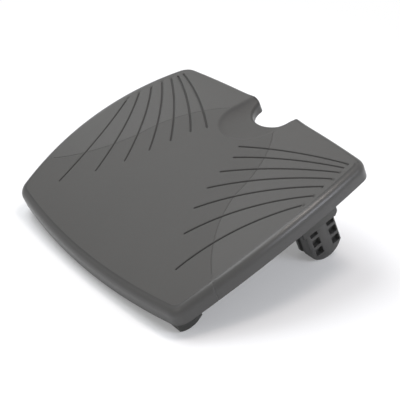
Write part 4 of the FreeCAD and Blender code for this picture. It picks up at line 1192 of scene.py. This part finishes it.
class FOOTREST_OT_legs(bpy.types.Operator):
    """Builds both legs with their ladders of pockets"""
    bl_idname = "footrest.legs"
    bl_label = "Legs"

    def execute(self, context):
        look = context.scene.footrest_feet
        # The legs' colour is a little darker than the plate's, as painted shade.
        plastic = smooth_plastic("leg_moulding", tuple(look.colour), look.roughness)
        carrier = link_new("leg_blank", leg_body())
        ladder = carrier.modifiers.new("pockets", "NODES")
        ladder.node_group = pocket_ladder()
        depth, width, height = POCKET_SIZE
        reach = 2 * depth
        first = (LEG_INNER, LEG_FRONT + POCKET_FRONT_BORDER + width / 2, TOP_POCKET_CENTRE)
        columns = LEG_REAR - LEG_FRONT - POCKET_FRONT_BORDER - POCKET_REAR_BORDER - width
        past_end, past_edge = 10.0, 1.0
        key_length = LEG_TOP - LEG_TIP_LOWEST + 2 * past_end
        key_centre = (LEG_INNER + KEYWAY_FROM_INNER, LEG_FRONT - LEG_FLANGE / 2 + KEYWAY_DEPTH / 2 - past_edge,
                      (LEG_TOP + LEG_TIP_LOWEST) / 2)
        set_inputs(ladder, First_Pocket=Vector(first) * MM, Column_Spacing=columns * MM,
                   Row_Pitch=POCKET_PITCH * MM, Rows=POCKET_ROWS, Face_Spacing=(LEG_OUTER - LEG_INNER) * MM,
                   Pocket_Size=Vector((reach, width, height)) * MM, Keyway_Centre=Vector(key_centre) * MM,
                   Keyway_Size=Vector((KEYWAY_WIDTH, LEG_FLANGE + KEYWAY_DEPTH + 2 * past_edge, key_length)) * MM,
                   Material=plastic)
        cut = evaluated_mesh(carrier, "leg")
        bpy.data.objects.remove(carrier)
        for side in ("right", "left"):
            body = cut.copy() if side == "right" else mirrored(cut.copy())
            piece = softened(body, side + "_leg_moulding", look.edge_rounding / MM, plastic, flatten=False)
            hand_over(piece, side + "_leg", side + "_leg")
        return {"FINISHED"}


class FOOTREST_OT_mouldings(bpy.types.Operator):
    """Rounds the edges of the front bar, its end caps, the sockets and the spring covers"""
    bl_idname = "footrest.mouldings"
    bl_label = "Bar, caps, sockets and covers"

    def execute(self, context):
        look = context.scene.footrest_feet
        # The bar, caps, sockets and covers take the darker colour, painted shade under the plate.
        plastic = smooth_plastic("foot_moulding", tuple(look.painted_shade_bar_colour), look.roughness)
        rounding = look.edge_rounding / MM
        refine("front_foot_bar", rounding, plastic)
        for side in ("right", "left"):
            refine(side + "_bar_end_cap", rounding, plastic)
            refine(side + "_leg_socket", rounding, plastic)
            refine(side + "_spring_cover", rounding * 0.6, plastic)
        return {"FINISHED"}


class FOOTREST_OT_treads(bpy.types.Operator):
    """Builds the rubber treads under the bar and the legs"""
    bl_idname = "footrest.treads"
    bl_label = "Rubber treads"

    def execute(self, context):
        rubber = tread_rubber("tread_rubber", tuple(context.scene.footrest_feet.rubber_colour))
        for side in ("right", "left"):
            refine(side + "_leg_tread", 0.25, rubber, side + "_leg")
            refine(side + "_bar_tread", 0.25, rubber)
        return {"FINISHED"}


class FOOTREST_OT_screws(bpy.types.Operator):
    """Sets the screws of the bar, the sockets and the spring covers"""
    bl_idname = "footrest.screws"
    bl_label = "Screws"

    def execute(self, context):
        zinc = drawn_steel("zinc_screw", (0.45, 0.45, 0.46), 0.38)
        tree = screw_setter()
        upright = Euler((0.0, 0.0, 0.0))

        def place(name, node_name, size, places, turn):
            hand_over(set_screws(name, size, places, turn, zinc, tree), node_name, "deck")

        place("bar_screws", "front_bar_screws", WOOD_SCREW,
              [(sign * x, BAR_SCREW_Y, BAR_SCREW_SEAT) for x in BAR_SCREW_X for sign in (1, -1)], upright)
        for side, sign in (("right", 1), ("left", -1)):
            place(side + "_flange_screws", side + "_socket_screws", WOOD_SCREW,
                  [(sign * x, y, SOCKET_SCREW_SEAT) for x in SOCKET_SCREW_X for y in SOCKET_SCREW_Y], upright)
            place(side + "_small_screws", side + "_cover_screws", COVER_SCREW,
                  [(sign * COVER_SCREW_SEAT, y, z) for y in COVER_SCREW_Y for z in COVER_SCREW_Z],
                  Euler((0.0, sign * math.pi / 2, 0.0)))
        return {"FINISHED"}


class FOOTREST_OT_springs(bpy.types.Operator):
    """Finishes the detent springs"""
    bl_idname = "footrest.springs"
    bl_label = "Detent springs"

    def execute(self, context):
        spring = drawn_steel("spring_strip", (0.52, 0.53, 0.55), 0.3)
        for side in ("right", "left"):
            dress(side + "_detent_spring", spring)
        return {"FINISHED"}


class FOOTREST_OT_stage(bpy.types.Operator):
    """Sets up the camera, the white floor and the lamps"""
    bl_idname = "footrest.stage"
    bl_label = "Camera, floor and lamps"

    def execute(self, context):
        look = context.scene.footrest_stage
        scene = context.scene
        scene.view_settings.view_transform = "Standard"
        lens = bpy.data.cameras.new("camera")
        lens.lens = CAMERA_LENS
        lens.sensor_width = CAMERA_SENSOR
        lens.clip_end = 50.0
        camera = bpy.data.objects.new("camera", lens)
        camera.location = CAMERA_PLACE
        camera.rotation_euler = (math.pi / 2 - CAMERA_PITCH, 0.0, CAMERA_YAW)
        scene.collection.objects.link(camera)
        scene.camera = camera
        make_floor(look)
        make_sky(scene, look)
        for name, place, size, colour in LAMPS:
            lamp(name, place, size, getattr(look, name + "_power"), colour)
        return {"FINISHED"}


def lamp(name, place, size, power, colour):
    """A rectangular lamp that faces the footrest."""
    light = bpy.data.lights.new(name, "AREA")
    light.shape = "RECTANGLE"
    light.size, light.size_y = size
    light.energy = power
    light.color = colour
    holder = bpy.data.objects.new(name, light)
    holder.location = place
    holder.rotation_euler = (LAMP_TARGET - Vector(place)).to_track_quat("-Z", "Y").to_euler()
    bpy.context.scene.collection.objects.link(holder)


def seen_as_backdrop(tree):
    """1 for the camera, mirrors and glass, which see plain white; 0 for the light on the object."""
    rays = node(tree, "ShaderNodeLightPath").outputs
    mirrored_ray = math_node(tree, "MAXIMUM", rays["Is Glossy Ray"], rays["Is Transmission Ray"])
    return math_node(tree, "MAXIMUM", rays["Is Camera Ray"], mirrored_ray)


def backdrop(tree, output, share, lit, white):
    """Ends a floor's or sky's tree: the lit shader, and plain white by the given share."""
    mix = node(tree, "ShaderNodeMixShader", {"Fac": share, 1: lit.outputs[0], 2: white.outputs[0]})
    node(tree, output, {"Surface": mix.outputs[0]})


def make_floor(look):
    """A pale floor that keeps the footrest's shadow and turns plain white further out."""
    mesh = bpy.data.meshes.new("floor")
    corners = [(x * FLOOR_HALF, y * FLOOR_HALF, 0.0) for x, y in ((-1, -1), (1, -1), (1, 1), (-1, 1))]
    mesh.from_pydata(corners, [], [(0, 1, 2, 3)])
    coat = bpy.data.materials.new("floor_white")
    coat.use_nodes = True
    tree = coat.node_tree
    tree.nodes.clear()
    place = node(tree, "ShaderNodeTexCoord").outputs["Object"]
    away = node(tree, "ShaderNodeVectorMath", {0: place}, operation="LENGTH")
    spread = node(tree, "ShaderNodeMapRange", {
        "Value": away.outputs["Value"], "From Min": look.shadow_reach, "From Max": 2.6 * look.shadow_reach,
        "To Min": look.floor_glow, "To Max": 1.0}, interpolation_type="SMOOTHSTEP")
    backdrop(tree, "ShaderNodeOutputMaterial", times(tree, seen_as_backdrop(tree), spread.outputs["Result"]),
             node(tree, "ShaderNodeBsdfDiffuse", {"Color": FLOOR_COLOUR}),
             node(tree, "ShaderNodeEmission", {"Strength": 1.0}))
    mesh.materials.append(coat)
    link_new("floor", mesh)


def make_sky(scene, look):
    """Even light from all round, seen as plain white."""
    scene.world = bpy.data.worlds.new("sky")
    scene.world.use_nodes = True
    tree = scene.world.node_tree
    tree.nodes.clear()
    backdrop(tree, "ShaderNodeOutputWorld", seen_as_backdrop(tree),
             node(tree, "ShaderNodeBackground", {"Color": SKY_COLOUR, "Strength": look.sky}),
             node(tree, "ShaderNodeBackground", {"Strength": 1.0}))


class FOOTREST_PT_sidebar(bpy.types.Panel):
    """Lists the footrest's pieces and their settings"""
    bl_idname = "FOOTREST_PT_sidebar"
    bl_label = "Footrest"
    bl_space_type = "VIEW_3D"
    bl_region_type = "UI"
    bl_category = "Footrest"

    def draw(self, context):
        layout = self.layout
        for settings in ("footrest_deck", "footrest_feet", "footrest_stage"):
            group = getattr(context.scene, settings)
            for name in group.__annotations__:
                layout.prop(group, name)
        for operator in OPERATORS:
            layout.operator(operator.bl_idname)


OPERATORS = (FOOTREST_OT_deck, FOOTREST_OT_legs, FOOTREST_OT_mouldings, FOOTREST_OT_treads,
             FOOTREST_OT_screws, FOOTREST_OT_springs, FOOTREST_OT_stage)
GROUPS = {"footrest_deck": DeckLook, "footrest_feet": FootLook, "footrest_stage": StageLook}
CLASSES = (*GROUPS.values(), *OPERATORS, FOOTREST_PT_sidebar)


def register():
    for made in CLASSES:
        bpy.utils.register_class(made)
    for name, group in GROUPS.items():
        setattr(bpy.types.Scene, name, PointerProperty(type=group))


def unregister():
    for name in GROUPS:
        delattr(bpy.types.Scene, name)
    for made in reversed(CLASSES):
        bpy.utils.unregister_class(made)


def main():
    register()
    bpy.ops.footrest.deck()
    bpy.ops.footrest.legs()
    bpy.ops.footrest.mouldings()
    bpy.ops.footrest.treads()
    bpy.ops.footrest.screws()
    bpy.ops.footrest.springs()
    bpy.ops.footrest.stage()


if __name__ == "__main__":
    main()
